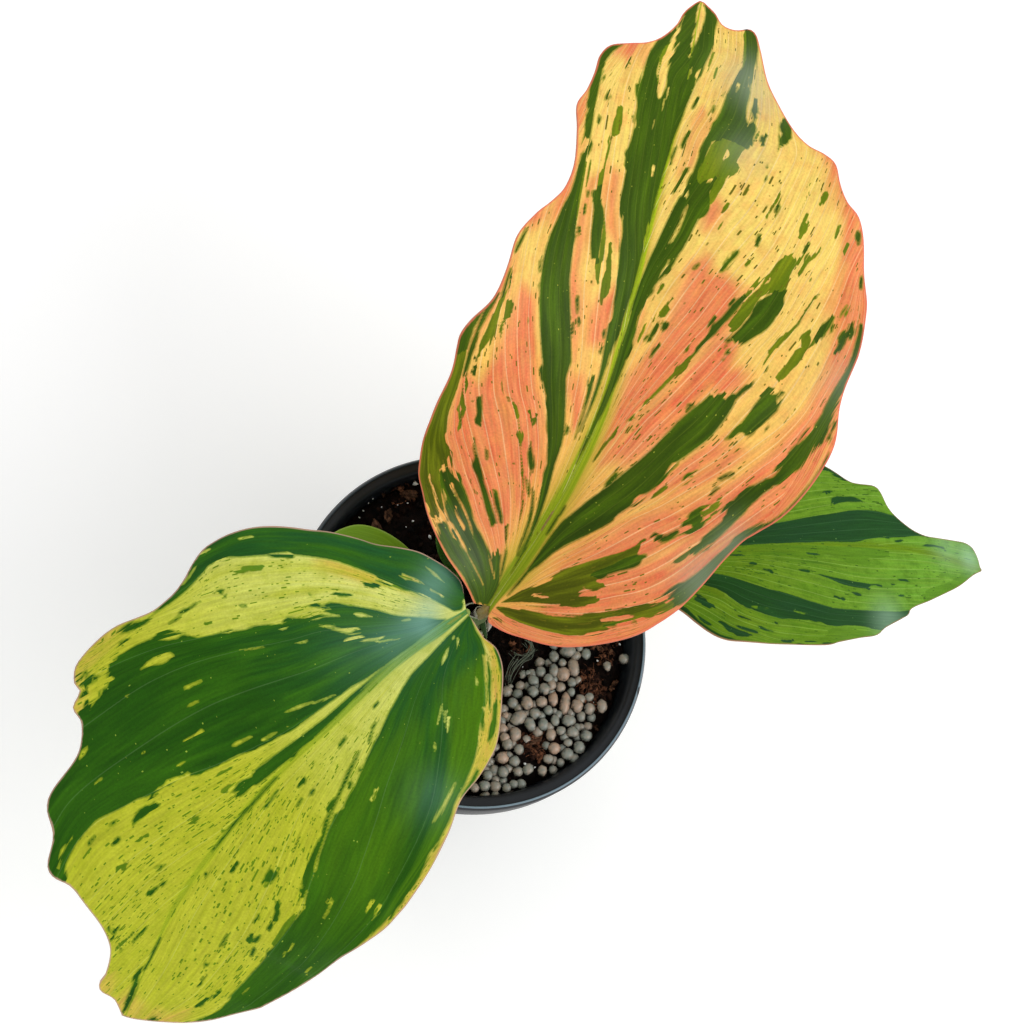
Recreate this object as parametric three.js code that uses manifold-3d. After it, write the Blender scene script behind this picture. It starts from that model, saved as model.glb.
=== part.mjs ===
// Potted variegated peacock ginger: three large patterned leaves and two small ones that rise
// from one rhizome, in a round plastic nursery pot filled with potting mix and topped with
// round fertiliser prills.
// Millimetres, +Z up. The origin is the centre of the pot's flat underside, +X is to the right
// and +Y is away from the viewer.
import * as THREE from "three";
import { mergeVertices } from "three/addons/utils/BufferGeometryUtils.js";
import Module from "manifold-3d";

const wasm = await Module();
wasm.setup();

// Gap between pieces that touch
const CLEARANCE = 0.3;

// Pot
const RIM_RADIUS = 50;
const POT_HEIGHT = 88;
const BASE_RADIUS = 36;
const WALL = 1.3;
const FLOOR = 1.6;
const LIP_WIDTH = 4;
const LIP_DEPTH = 8;
const POT_SIDES = 48;
const DRAIN_HOLES = 6;
const DRAIN_RADIUS = 3.5;
const DRAIN_CIRCLE = 27;

// Potting mix and prills
const SOIL_LEVEL = 83;
const SOIL_RELIEF = 0.7;
const PRILL_RADIUS = 2.2;
const PRILL_PITCH = 4.3;
const PRILL_HEAP = [
  { x: 28, y: -6, radius: 7 },
  { x: 22, y: -16, radius: 9 },
  { x: 13, y: -27, radius: 11 },
  { x: 28, y: -26, radius: 9 },
  { x: 5, y: -37, radius: 6 },
];
const STRAY_PRILLS = [
  [41, -6],
  [38, -10],
  [37.5, -19],
];

// Stem: nested sheaths round one upright axis
const STEM = new THREE.Vector3(-1.5, 0.5, 0);
const STEM_FOOT = 67;
const CORE_RADIUS = 2.2;
const LIME_SHEATH = { inner: 2.5, outer: 3.4 };
const GREEN_SHEATH = { inner: 3.7, outer: 4.6 };
const DRY_SHEATH = { inner: 4.9, outer: 5.5 };
const SHEATH_SIDES = 20;
const SIDE_SHOOT_RADIUS = 1.3;

// Rhizome: knobs and fleshy roots
const KNOBS = [
  { at: [-1.5, 0.5, 60], radii: [9, 7.5, 6.5] },
  { at: [-9, 7, 57], radii: [7.5, 6.5, 5.5] },
  { at: [7, -4, 56], radii: [7.5, 6, 5] },
];
const ROOT_RADIUS = 1.6;
const ROOTS = [
  [[-9, 8, 56], [-18, 15, 50], [-24, 20, 40], [-26, 22, 28]],
  [[-2, -2, 57], [-8, -14, 50], [-14, -22, 38], [-15, -25, 25]],
  [[8, -5, 55], [18, -12, 49], [24, -16, 38], [25, -18, 26]],
  [[5, 3, 57], [14, 13, 51], [20, 21, 41], [21, 24, 29]],
  [[-1, 1, 55], [-3, 3, 44], [-2, 6, 32], [1, 8, 22]],
];

// Leaves. spine is the midrib in the pot's frame, left and right are the margins seen from above
// as [distance along the midrib, distance to the side], cup lifts the halves into a shallow V,
// droop bends them down again, and wave ruffles the margins.
const BLADE_THICKNESS = 0.8;
const LEAVES = {
  leaf_peach: {
    spine: [
      [0, 0.8, 104], [9.5, 16.5, 113], [16.2, 30.2, 123.5], [21.3, 46.9, 137], [24.3, 70, 151.5],
      [27.1, 89.8, 160], [31.3, 111.5, 165.5], [35.5, 130.5, 168], [40.3, 153.3, 168],
    ],
    left: [
      [-1.7, -4], [0.5, -7.5], [2.3, -11.5], [5, -18.3], [10, -26.5], [15, -31.5], [20, -35.2],
      [30, -38.7], [44, -40.5], [57, -40.7], [66, -41.8], [70.5, -42], [75, -40.3], [81, -36.3],
      [88, -34.4], [96, -33.6], [102, -30.2], [106, -26.8], [110, -24.3], [116, -23.5],
      [124, -25], [130, -26.6], [135, -25], [140, -24.2], [145, -24], [149, -22], [152, -17.5],
      [155, -12.5], [159, -8.8], [165, -5.6], [170, -4.2], [174, -2], [176, -0.5],
    ],
    right: [
      [-2.6, 3.2], [-2.9, 6], [-1.9, 11], [0.5, 18], [4, 23.5], [10, 30], [17, 35.8],
      [25, 39.8], [32, 42], [44, 45], [48, 47.5], [53, 52], [60, 57], [65, 60.2], [69, 60.9],
      [75, 59.6], [82, 58.7], [95, 58.3], [103, 58.7], [111, 57.7], [119, 55.3], [125, 51.6],
      [128, 47.4], [132, 44.5], [137.5, 42.3], [139.6, 39], [140.8, 34.5], [144, 30],
      [150, 24.8], [156, 20.8], [165, 17.7], [169.5, 16], [171, 14], [169.8, 11.5], [169.4, 9],
      [170.4, 6.4], [173.5, 4.2], [176, 0.8],
    ],
    cup: 0.34, fade: 300, droop: 0.0018,
    wave: { height: 2.2, length: 42, reach: 50, phase: 0.4 },
    rows: 38, columns: 5, petioleEnd: 1.9, keelEnd: 0.7,
  },
  leaf_lime: {
    spine: [
      [-6.4, -1.3, 104], [-25.8, -17.6, 111], [-42, -34.9, 113.5], [-55.5, -49, 110.5],
      [-65.2, -61.8, 104], [-73.8, -75.3, 94.5], [-79.1, -89, 84], [-83, -100.8, 74],
    ],
    left: [
      [0.3, -3], [1.2, -6.5], [1.5, -8.8], [1, -11], [1.3, -13.5], [4, -18], [10, -23.7],
      [16, -28.5], [22, -32], [28, -33.7], [34, -34.7], [42, -35.3], [50, -38.7], [58, -41.6],
      [66, -43.2], [72, -43.5], [79, -43.2], [86, -41.5], [93, -39.4], [104, -37.8],
      [111, -36.7], [118, -33.7], [124, -29.3], [129, -24.3], [133, -19.6], [135.8, -14.5],
      [138, -8.5], [139.6, -3], [140, -0.6],
    ],
    right: [
      [-3.6, 6], [-3.9, 8], [-3, 11], [-1.5, 14], [2, 19], [6, 22.5], [12, 27], [15.5, 31],
      [20, 35.8], [24, 39.5], [27, 43], [30, 46.3], [33, 49], [36, 51], [39, 52.2], [42, 52.6],
      [48, 51.2], [56, 48.8], [60, 48.4], [63, 48.7], [66, 50.3], [69, 52.3], [72, 53.3],
      [76, 53.6], [79, 53], [81.2, 50.5], [81.6, 48.2], [84.8, 46.8], [86, 43], [90, 39.8],
      [94, 38.8], [101, 39], [104, 37.5], [107, 33], [111.5, 31], [113, 28.5], [113.2, 24],
      [115, 20], [119, 13.5], [124, 9.5], [130, 8.3], [133, 8.8], [135.3, 7.8], [136.2, 4.3],
      [138, 2.4], [140, 0.8],
    ],
    cup: 0.22, fade: 90, droop: 0.002,
    wave: { height: 2.2, length: 32, reach: 48, phase: 2.2 },
    rows: 38, columns: 5, petioleEnd: 1.9, keelEnd: 0.7,
  },
  leaf_green: {
    spine: [
      [24.4, 11, 102], [42.9, 17.2, 103], [74.1, 25.9, 100.5], [95.1, 29.6, 97],
      [117.2, 32.6, 92.5], [140.8, 34.6, 87], [167.1, 33.4, 79],
    ],
    left: [
      [0, -2], [6, -3.5], [12, -7.5], [20, -14], [30, -20.5], [41, -26], [53, -29], [65, -30],
      [76, -29], [84, -27], [90, -24.3], [96, -20.3], [100, -19.5], [106, -19.3],
      [108.2, -17.5], [110, -12.8], [113, -9.6], [118, -6.6], [123, -5.4], [128, -5.7],
      [136, -6.7], [141, -7.2], [144.5, -6.3], [146.7, -3.5], [147.6, -0.6],
    ],
    right: [
      [0, 2], [6, 3.5], [12, 7], [20, 11], [26, 15.6], [30, 20.5], [33, 23.8], [36, 26],
      [40, 27.4], [50, 29], [62, 30], [74, 30.9], [80, 30], [90, 28.4], [97, 27.5],
      [100.5, 25.3], [107, 22.7], [110.5, 21.2], [113, 19], [124, 15], [136, 8.8],
      [144, 2.9], [148, 0.6],
    ],
    cup: 0.22, fade: 90, droop: 0.003,
    wave: { height: 1.2, length: 36, reach: 30, phase: 1 },
    rows: 27, columns: 4, petioleEnd: 1.7, keelEnd: 0.6,
  },
  leaf_small: {
    spine: [
      [-14.2, 8.4, 89.5], [-21.6, 11.2, 91.8], [-30.3, 13.8, 93], [-38.3, 16.2, 92],
      [-43.8, 17.8, 89],
    ],
    left: [[0, -1.2], [4, -5], [9, -8], [16, -9.3], [23, -8.3], [28.5, -5], [32.4, -0.5]],
    right: [[0, 1.2], [4, 5], [9, 8], [16, 9.5], [23, 8.6], [28.5, 5], [32.4, 0.5]],
    cup: 0.25, fade: 60, droop: 0.006,
    wave: { height: 0.5, length: 20, reach: 9, phase: 0 },
    rows: 12, columns: 3, petioleEnd: 1.1, keelEnd: 0.5,
  },
  leaf_spear: {
    spine: [
      [-6, 12, 90], [-5.4, 15.5, 93], [-7.2, 22.3, 97], [-8.6, 30, 99], [-8, 38.5, 98],
    ],
    left: [[0, -1.1], [4, -4.2], [9, -6.3], [15, -6.2], [21, -4.6], [26, -2.6], [30.4, -0.5]],
    right: [[0, 1.1], [4, 4.2], [9, 6.3], [15, 6.2], [21, 4.6], [26, 2.6], [30.4, 0.5]],
    cup: 0.3, fade: 60, droop: 0.008,
    wave: { height: 0.4, length: 20, reach: 7, phase: 1 },
    rows: 12, columns: 3, petioleEnd: 1.1, keelEnd: 0.5,
  },
};

// Petioles, from inside the stem or the ground to the foot of each midrib
const PETIOLES = {
  leaf_peach: [[-1.5, 0.5, STEM_FOOT], [-1.5, 0.5, 84], [-1.4, 0.5, 95], [-1, 0.6, 100]],
  leaf_lime: [[-4.4, 0.1, 90], [-4.6, -0.2, 96], [-5.3, -0.7, 101]],
  leaf_green: [[2.7, 1.2, 88], [4.4, 2, 93], [9, 4.4, 98], [16, 7.8, 101.2]],
  leaf_small: [[-10.5, 5.5, 63.5], [-10.5, 5.5, 78], [-10.7, 5.6, 85.5]],
  leaf_spear: [[-7, 9.5, 63], [-7, 9.5, 78], [-6.9, 9.7, 85.5]],
};

// Colours, roughness
const MATERIALS = {
  pot: [0x2b2f33, 0.45],
  soil: [0x1c140f, 0.95],
  rhizome: [0xb08a5a, 0.7],
  leaf_peach: [0xf08a60, 0.4],
  leaf_lime: [0xa9b83a, 0.4],
  leaf_green: [0x3f7d2a, 0.4],
  leaf_small: [0x6b8e1f, 0.45],
  leaf_spear: [0x2e5a0e, 0.45],
  dry_sheath: [0xb89c86, 0.7],
};

const point = ([x, y, z = 0]) => new THREE.Vector3(x, y, z);
const circlePoint = (radius, angle, z) =>
  new THREE.Vector3(radius * Math.cos(angle), radius * Math.sin(angle), z);

// Mulberry32, so that every run places the prills alike
function randomSource(seed) {
  let state = seed;
  return () => {
    state = (state + 0x6d2b79f5) | 0;
    let t = Math.imul(state ^ (state >>> 15), 1 | state);
    t = (t + Math.imul(t ^ (t >>> 7), 61 | t)) ^ t;
    return ((t ^ (t >>> 14)) >>> 0) / 4294967296;
  };
}

// Closed meshes to solids and back

function weld(geometry) {
  const bare = geometry.clone();
  bare.deleteAttribute("normal");
  bare.deleteAttribute("uv");
  return mergeVertices(bare, 1e-4);
}

function signedVolume(geometry) {
  const position = geometry.getAttribute("position");
  const corner = [new THREE.Vector3(), new THREE.Vector3(), new THREE.Vector3()];
  let volume = 0;
  for (let i = 0; i < geometry.index.count; i += 3) {
    corner.forEach((c, k) => c.fromBufferAttribute(position, geometry.index.getX(i + k)));
    volume += corner[0].dot(corner[1].clone().cross(corner[2])) / 6;
  }
  return volume;
}

function solidOf(geometry) {
  const welded = weld(geometry);
  const triVerts = new Uint32Array(welded.index.array);
  if (signedVolume(welded) < 0) {
    for (let i = 0; i < triVerts.length; i += 3) {
      [triVerts[i + 1], triVerts[i + 2]] = [triVerts[i + 2], triVerts[i + 1]];
    }
  }
  const vertProperties = new Float32Array(welded.getAttribute("position").array);
  return new wasm.Manifold(new wasm.Mesh({ numProp: 3, vertProperties, triVerts }));
}

function geometryOf(solid) {
  const mesh = solid.getMesh();
  const geometry = new THREE.BufferGeometry();
  const corners = new Float32Array(mesh.numVert * 3);
  for (let i = 0; i < mesh.numVert; i += 1) {
    for (let k = 0; k < 3; k += 1) {
      corners[i * 3 + k] = mesh.vertProperties[i * mesh.numProp + k];
    }
  }
  geometry.setAttribute("position", new THREE.BufferAttribute(corners, 3));
  geometry.setIndex(new THREE.BufferAttribute(new Uint32Array(mesh.triVerts), 1));
  geometry.computeVertexNormals();
  return geometry;
}

const union = (solids) => solids.reduce((whole, solid) => whole.add(solid));

// A skin over closed sections with equal counts of points. The ends are capped with fans, or the
// last section joins the first when wrap is set.
function loft(sections, wrap = false) {
  const count = sections[0].length;
  const corners = sections.flat();
  const faces = [];
  const last = wrap ? sections.length : sections.length - 1;
  for (let i = 0; i < last; i += 1) {
    const near = i * count;
    const far = ((i + 1) % sections.length) * count;
    for (let j = 0; j < count; j += 1) {
      const next = (j + 1) % count;
      faces.push(near + j, near + next, far + next, near + j, far + next, far + j);
    }
  }
  if (!wrap) {
    for (const [section, first, flip] of [
      [sections[0], 0, true],
      [sections.at(-1), (sections.length - 1) * count, false],
    ]) {
      const centre = section.reduce((sum, p) => sum.add(p), new THREE.Vector3());
      const middle = corners.push(centre.divideScalar(count)) - 1;
      for (let j = 0; j < count; j += 1) {
        const pair = [first + j, first + ((j + 1) % count)];
        faces.push(...(flip ? pair.reverse() : pair), middle);
      }
    }
  }
  const geometry = new THREE.BufferGeometry().setFromPoints(corners);
  geometry.setIndex(faces);
  return geometry;
}

// A round rod along hand-set points, with a radius for each share of its length. Both ends can
// run on past the points.
function rod(points, radiusAt, sides, steps, overrun = 0) {
  const curve = new THREE.CatmullRomCurve3(points, false, "catmullrom", 0.5);
  const frames = curve.computeFrenetFrames(steps, false);
  const rings = [];
  for (let i = 0; i <= steps; i += 1) {
    const share = i / steps;
    const centre = curve.getPointAt(share);
    const push = (i === steps) - (i === 0);
    centre.addScaledVector(curve.getTangentAt(share), push * overrun);
    const ring = [];
    for (let j = 0; j < sides; j += 1) {
      const angle = (2 * Math.PI * j) / sides;
      ring.push(
        centre
          .clone()
          .addScaledVector(frames.normals[i], radiusAt(share) * Math.cos(angle))
          .addScaledVector(frames.binormals[i], radiusAt(share) * Math.sin(angle)),
      );
    }
    rings.push(ring);
  }
  return loft(rings);
}

function uprightCylinder(radius, from, to, x, y, sides = SHEATH_SIDES) {
  const cylinder = new THREE.CylinderGeometry(radius, radius, to - from, sides);
  return cylinder.rotateX(Math.PI / 2).translate(x, y, (from + to) / 2);
}

function ellipsoid({ at, radii }, grow = 0) {
  const ball = new THREE.IcosahedronGeometry(1, 1);
  return ball.scale(...radii.map((radius) => radius + grow)).translate(...at);
}

// Leaf blades

class Blade {
  constructor(shape) {
    Object.assign(this, shape);
    this.midrib = new THREE.CatmullRomCurve3(shape.spine.map(point), false, "catmullrom", 0.5);
    this.midrib.arcLengthDivisions = 400;
    this.length = this.midrib.getLength();
    this.margins = [shape.left, shape.right].map(
      (points) => new THREE.CatmullRomCurve3(points.map(point), false, "catmullrom", 0.5),
    );
  }

  frame(along) {
    const share = THREE.MathUtils.clamp(along / this.length, 0, 1);
    const centre = this.midrib.getPointAt(share);
    const forward = this.midrib.getTangentAt(share);
    const side = forward.clone().cross(new THREE.Vector3(0, 0, 1)).normalize();
    const up = side.clone().cross(forward);
    centre.addScaledVector(forward, along - share * this.length);
    return { centre, side, up };
  }

  rise(along, across) {
    const width = Math.abs(across);
    const fold = this.cup * Math.exp(-Math.max(along, 0) / this.fade);
    const { height, length, reach, phase } = this.wave;
    const turn = (2 * Math.PI * along) / length + phase + (across < 0 ? Math.PI / 2 : 0);
    return (
      fold * (Math.sqrt(width * width + 9) - 3) -
      this.droop * width * width +
      height * (width / reach) ** 3 * Math.sin(turn)
    );
  }

  at(along, across, lift = 0) {
    const { centre, side, up } = this.frame(along);
    return centre
      .addScaledVector(side, across)
      .addScaledVector(up, this.rise(along, across) + lift);
  }

  // Rows run from the left margin over the midrib to the right margin
  grid() {
    const rows = [];
    for (let i = 0; i <= this.rows; i += 1) {
      const share = i / this.rows;
      const foot = this.length * share ** 1.12;
      const [left, right] = this.margins.map((margin) => margin.getPointAt(share));
      const row = [];
      for (let j = -this.columns; j <= this.columns; j += 1) {
        const edge = j < 0 ? left : right;
        const part = Math.abs(j) / this.columns;
        row.push(this.at(foot + (edge.x - foot) * part, edge.y * part));
      }
      rows.push(row);
    }
    return rows;
  }

  // The grid thickened along its own normals, both faces split into triangles alike
  plate() {
    const rows = this.grid();
    const wide = rows[0].length;
    const middle = rows.flat();
    const quads = [];
    for (let i = 0; i + 1 < rows.length; i += 1) {
      for (let j = 0; j + 1 < wide; j += 1) {
        const a = i * wide + j;
        quads.push([a, a + 1, a + wide + 1], [a, a + wide + 1, a + wide]);
      }
    }
    const normals = middle.map(() => new THREE.Vector3());
    for (const [a, b, c] of quads) {
      const edge = middle[b].clone().sub(middle[a]);
      const normal = edge.cross(middle[c].clone().sub(middle[a]));
      [a, b, c].forEach((k) => normals[k].add(normal));
    }
    normals.forEach((normal) => normal.normalize());
    const shift = (sign) =>
      middle.map((p, k) => p.clone().addScaledVector(normals[k], (sign * BLADE_THICKNESS) / 2));
    const corners = [...shift(1), ...shift(-1)];
    const under = middle.length;
    const rim = [];
    for (let j = 0; j < wide; j += 1) rim.push(j);
    for (let i = 1; i < rows.length; i += 1) rim.push(i * wide + wide - 1);
    for (let j = wide - 2; j >= 0; j -= 1) rim.push((rows.length - 1) * wide + j);
    for (let i = rows.length - 2; i > 0; i -= 1) rim.push(i * wide);
    const faces = quads.flatMap(([a, b, c]) => [a, b, c, c + under, b + under, a + under]);
    rim.forEach((a, k) => {
      const b = rim[(k + 1) % rim.length];
      faces.push(b, a, a + under, b, a + under, b + under);
    });
    const geometry = new THREE.BufferGeometry().setFromPoints(corners);
    geometry.setIndex(faces);
    return geometry;
  }

  // The petiole runs on under the blade as the midrib's keel
  stalk(path, footRadius, sides = 6, steps = 16) {
    const keelLength = this.length * 0.8;
    const points = path.map(point);
    for (const share of [0, 0.12, 0.3, 0.5, 0.75, 1]) {
      points.push(this.at(share * keelLength, 0, -this.petioleEnd * 0.75 * (1 - 0.75 * share)));
    }
    const whole = new THREE.CatmullRomCurve3(points, false, "catmullrom", 0.5).getLength();
    const bare = 1 - keelLength / whole;
    const radiusAt = (share) =>
      share < bare
        ? THREE.MathUtils.lerp(footRadius, this.petioleEnd, share / bare)
        : THREE.MathUtils.lerp(this.petioleEnd, this.keelEnd, (share - bare) / (1 - bare));
    return rod(points, radiusAt, sides, steps);
  }
}

// A sheath is a tube round the stem's axis with a slanting mouth
function sheath({ inner, outer }, foot, mouth, slant, highSide) {
  const sections = [];
  for (let i = 0; i < SHEATH_SIDES; i += 1) {
    const angle = (2 * Math.PI * i) / SHEATH_SIDES;
    const top = mouth + slant * Math.cos(angle - highSide);
    sections.push(
      [[inner, foot], [outer, foot], [outer, top], [inner, top]].map(([radius, z]) =>
        circlePoint(radius, angle, z).add(STEM),
      ),
    );
  }
  return loft(sections, true);
}

const boreOf = (inner) => uprightCylinder(inner, 50, 130, STEM.x, STEM.y);

function leafPeach() {
  const blade = new Blade(LEAVES.leaf_peach);
  const stalk = blade.stalk(PETIOLES.leaf_peach, CORE_RADIUS, 8, 20);
  return union([solidOf(blade.plate()), solidOf(stalk)]);
}

function leafLime() {
  const blade = new Blade(LEAVES.leaf_lime);
  const stalk = blade.stalk(PETIOLES.leaf_lime, 1.4);
  const tube = sheath(LIME_SHEATH, STEM_FOOT, 97, 2.5, Math.PI);
  const whole = union([solidOf(blade.plate()), solidOf(stalk), solidOf(tube)]);
  return whole.subtract(solidOf(boreOf(LIME_SHEATH.inner)));
}

function leafGreen() {
  const blade = new Blade(LEAVES.leaf_green);
  const stalk = blade.stalk(PETIOLES.leaf_green, 1.3);
  const tube = sheath(GREEN_SHEATH, STEM_FOOT, 91, 3, 0.4);
  const whole = union([solidOf(blade.plate()), solidOf(stalk), solidOf(tube)]);
  return whole.subtract(solidOf(boreOf(GREEN_SHEATH.inner)));
}

function sideLeaf(name) {
  const blade = new Blade(LEAVES[name]);
  const stalk = blade.stalk(PETIOLES[name], SIDE_SHOOT_RADIUS, 6, 12);
  return union([solidOf(blade.plate()), solidOf(stalk)]);
}

const drySheath = () => solidOf(sheath(DRY_SHEATH, STEM_FOOT, 85, 1.5, 4.2));

// Rhizome
function rhizome(grow = 0) {
  const knobs = KNOBS.map((knob) => solidOf(ellipsoid(knob, grow)));
  const roots = ROOTS.map((path) => {
    const radiusAt = (share) => THREE.MathUtils.lerp(ROOT_RADIUS, 0.7, share) + grow;
    return solidOf(rod(path.map(point), radiusAt, 5, 7, grow));
  });
  return union([...knobs, ...roots]);
}

// Pot
const innerRadiusAt = (z) =>
  THREE.MathUtils.mapLinear(z, 0, POT_HEIGHT, BASE_RADIUS - WALL, RIM_RADIUS - LIP_WIDTH);

function pot() {
  const top = POT_HEIGHT;
  const under = top - LIP_DEPTH;
  const wallTop = innerRadiusAt(top - 2) + WALL;
  const profile = [
    [0, 0],
    [BASE_RADIUS - 1, 0],
    [BASE_RADIUS, 1],
    [wallTop, top - 2],
    [RIM_RADIUS - WALL, top - 2],
    [RIM_RADIUS - WALL, under],
    [RIM_RADIUS, under],
    [RIM_RADIUS, top - 1.8],
    [RIM_RADIUS - 0.5, top - 0.6],
    [RIM_RADIUS - 1.6, top],
    [RIM_RADIUS - LIP_WIDTH + 1, top],
    [RIM_RADIUS - LIP_WIDTH + 0.3, top - 0.4],
    [innerRadiusAt(top - 1.5), top - 1.5],
    [innerRadiusAt(FLOOR), FLOOR],
    [0, FLOOR],
  ].map(([radius, z]) => new THREE.Vector2(radius, z));
  const shell = new THREE.LatheGeometry(profile, POT_SIDES).rotateX(Math.PI / 2);
  let body = solidOf(shell);
  for (let i = 0; i < DRAIN_HOLES; i += 1) {
    const centre = circlePoint(DRAIN_CIRCLE, (2 * Math.PI * i) / DRAIN_HOLES, 0);
    const hole = uprightCylinder(DRAIN_RADIUS, -1, FLOOR + 1, centre.x, centre.y, 14);
    body = body.subtract(solidOf(hole));
  }
  return body;
}

// Potting mix: a bumpy top, with the prills sunk into it
function soilHeight(x, y) {
  const bumps =
    Math.sin(x * 0.31 + 1.3) * Math.cos(y * 0.27 - 0.6) +
    0.6 * Math.sin(x * 0.43 - y * 0.37) +
    0.4 * Math.cos(x * 0.19 + y * 0.5 + 2);
  return SOIL_LEVEL + SOIL_RELIEF * bumps;
}

function prillCentres() {
  const random = randomSource(29);
  const rowStep = PRILL_PITCH * Math.sin(Math.PI / 3);
  const centres = STRAY_PRILLS.map(([x, y]) => [x, y]);
  for (let row = -12; row <= 1; row += 1) {
    for (let column = -4; column <= 11; column += 1) {
      const x = (column + (row % 2 ? 0.5 : 0)) * PRILL_PITCH + (random() - 0.5) * 0.7;
      const y = row * rowStep + (random() - 0.5) * 0.7;
      const inHeap = PRILL_HEAP.some((disc) => Math.hypot(x - disc.x, y - disc.y) < disc.radius);
      const onSoil = Math.hypot(x, y) < innerRadiusAt(SOIL_LEVEL) - PRILL_RADIUS - 1.2;
      if (inHeap && onSoil && random() < 0.94) centres.push([x, y]);
    }
  }
  return centres;
}

function soil() {
  const edge = (z) => innerRadiusAt(z) - CLEARANCE;
  const floor = FLOOR + CLEARANCE;
  const ring = (radiusOf, heightOf) =>
    Array.from({ length: POT_SIDES }, (_, i) => {
      const angle = (2 * Math.PI * i) / POT_SIDES;
      const { x, y } = circlePoint(radiusOf, angle, 0);
      return new THREE.Vector3(x, y, heightOf(x, y));
    });
  const rings = [ring(edge(floor), () => floor)];
  const rimLevel = SOIL_LEVEL - 1.5;
  rings.push(ring(edge(rimLevel), () => rimLevel));
  for (const share of [0.94, 0.85, 0.75, 0.65, 0.54, 0.43, 0.32, 0.2, 0.1]) {
    rings.push(ring(edge(rimLevel) * share, soilHeight));
  }
  let body = solidOf(loft(rings));
  const random = randomSource(7);
  for (const [x, y] of prillCentres()) {
    const radius = PRILL_RADIUS * (0.92 + 0.14 * random());
    const ball = new THREE.IcosahedronGeometry(radius, 0);
    ball.rotateX(random() * 3).rotateZ(random() * 3);
    body = body.add(solidOf(ball.translate(x, y, soilHeight(x, y) + 0.15 * radius)));
  }
  const cuts = [rhizome(CLEARANCE + 0.1)];
  const stemHole = DRY_SHEATH.outer + CLEARANCE;
  cuts.push(solidOf(uprightCylinder(stemHole, 58, POT_HEIGHT + 6, STEM.x, STEM.y)));
  for (const name of ["leaf_small", "leaf_spear"]) {
    const [x, y] = PETIOLES[name][0];
    const radius = SIDE_SHOOT_RADIUS + CLEARANCE + 0.2;
    cuts.push(solidOf(uprightCylinder(radius, 58, POT_HEIGHT + 6, x, y, 12)));
  }
  return body.subtract(union(cuts));
}

const PIECES = {
  pot,
  soil,
  rhizome: () => rhizome(),
  leaf_peach: leafPeach,
  leaf_lime: leafLime,
  leaf_green: leafGreen,
  leaf_small: () => sideLeaf("leaf_small"),
  leaf_spear: () => sideLeaf("leaf_spear"),
  dry_sheath: drySheath,
};

const plant = new THREE.Group();
for (const [name, make] of Object.entries(PIECES)) {
  const [color, roughness] = MATERIALS[name];
  const material = new THREE.MeshStandardMaterial({ color, roughness, metalness: 0 });
  const mesh = new THREE.Mesh(geometryOf(make()), material);
  mesh.name = name;
  plant.add(mesh);
}

export default plant;
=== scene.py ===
# Potted variegated peacock ginger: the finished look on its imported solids.
# Lengths below are millimetres in the pot's frame, turned to metres as each mesh is made.
# The pot stands on its flat underside at the origin, +X is to the right, +Y is away.
import functools
import math
import random

import bmesh
import bpy
import numpy as np
from mathutils import Matrix, Vector, noise


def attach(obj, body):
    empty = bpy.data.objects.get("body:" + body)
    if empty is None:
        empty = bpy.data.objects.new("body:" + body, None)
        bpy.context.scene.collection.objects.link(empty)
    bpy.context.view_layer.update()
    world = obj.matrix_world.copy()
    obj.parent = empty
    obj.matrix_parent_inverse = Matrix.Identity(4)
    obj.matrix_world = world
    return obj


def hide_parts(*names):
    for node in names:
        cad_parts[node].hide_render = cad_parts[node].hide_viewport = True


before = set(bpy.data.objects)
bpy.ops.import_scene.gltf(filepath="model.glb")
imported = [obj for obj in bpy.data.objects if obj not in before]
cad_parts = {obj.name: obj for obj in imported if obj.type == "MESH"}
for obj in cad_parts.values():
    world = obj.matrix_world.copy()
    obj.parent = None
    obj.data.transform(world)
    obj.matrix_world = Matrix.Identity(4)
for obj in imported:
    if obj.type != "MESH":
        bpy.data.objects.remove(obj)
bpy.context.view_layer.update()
MM = 0.001

# View
CAMERA_AT = (-94.94, -108.14, 457.28)
CAMERA_RIGHT = (0.9623, 0.0, 0.2721)
CAMERA_UP = (-0.0944, 0.9379, 0.3338)
CAMERA_BACK = (-0.2552, -0.3469, 0.9025)
LENS = 50.98
SENSOR = 36

# Studio, in metres
FLOOR_HALF = 20
LAMP_TARGET = (0, 0, 0.1)
SKY_STRENGTH = 0.75

# Pot
RIM_RADIUS = 50
POT_HEIGHT = 88
BASE_RADIUS = 36
WALL = 1.3
FLOOR = 1.6
LIP_WIDTH = 4
LIP_DEPTH = 8
DRAIN_HOLES = 6
DRAIN_RADIUS = 3.5
DRAIN_CIRCLE = 27
# The mould's parting line crosses the lip here, and a highlight is painted on the lip's bead towards this
# side
SEAM_ANGLE = -0.305
PAINTED_HIGHLIGHT_SIDE = (0.75, -0.66, 0)

# Potting mix
SOIL_LEVEL = 83
SOIL_RELIEF = 0.7
GAP_TO_POT = 0.3
FIBRES_WITHIN = 42
BURIED_PRILLS = 60
CRUMBS = 900
BARE_ROUND_STEM = 7

# Stem, with the sheaths round it: radii, the mouth's level, how far it slants and which way is
# high, and the shift and stretch of a mouth that opens to an oval over its last stretch
STEM = (-1.5, 0.5)
STEM_FOOT = 67
FLARE_DEPTH = 9
SHEATHS = {
    "leaf_lime": {
        "inner": 2.5, "outer": 3.4, "mouth": 97.6, "slant": 0.8, "high": 2.6,
        "oval": (-0.4, 0.7, 1.15, 0.58),
    },
    "ligule": {
        "inner": 1.5, "outer": 1.68, "mouth": 97.9, "slant": 0.9, "high": math.pi,
        "oval": (0.6, 0.3, 1, 1),
    },
    "leaf_green": {"inner": 3.7, "outer": 4.6, "mouth": 91, "slant": 3, "high": 0.4},
    "dry_sheath": {"inner": 4.9, "outer": 5.5, "mouth": 85, "slant": 1.5, "high": 4.2},
}

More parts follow.
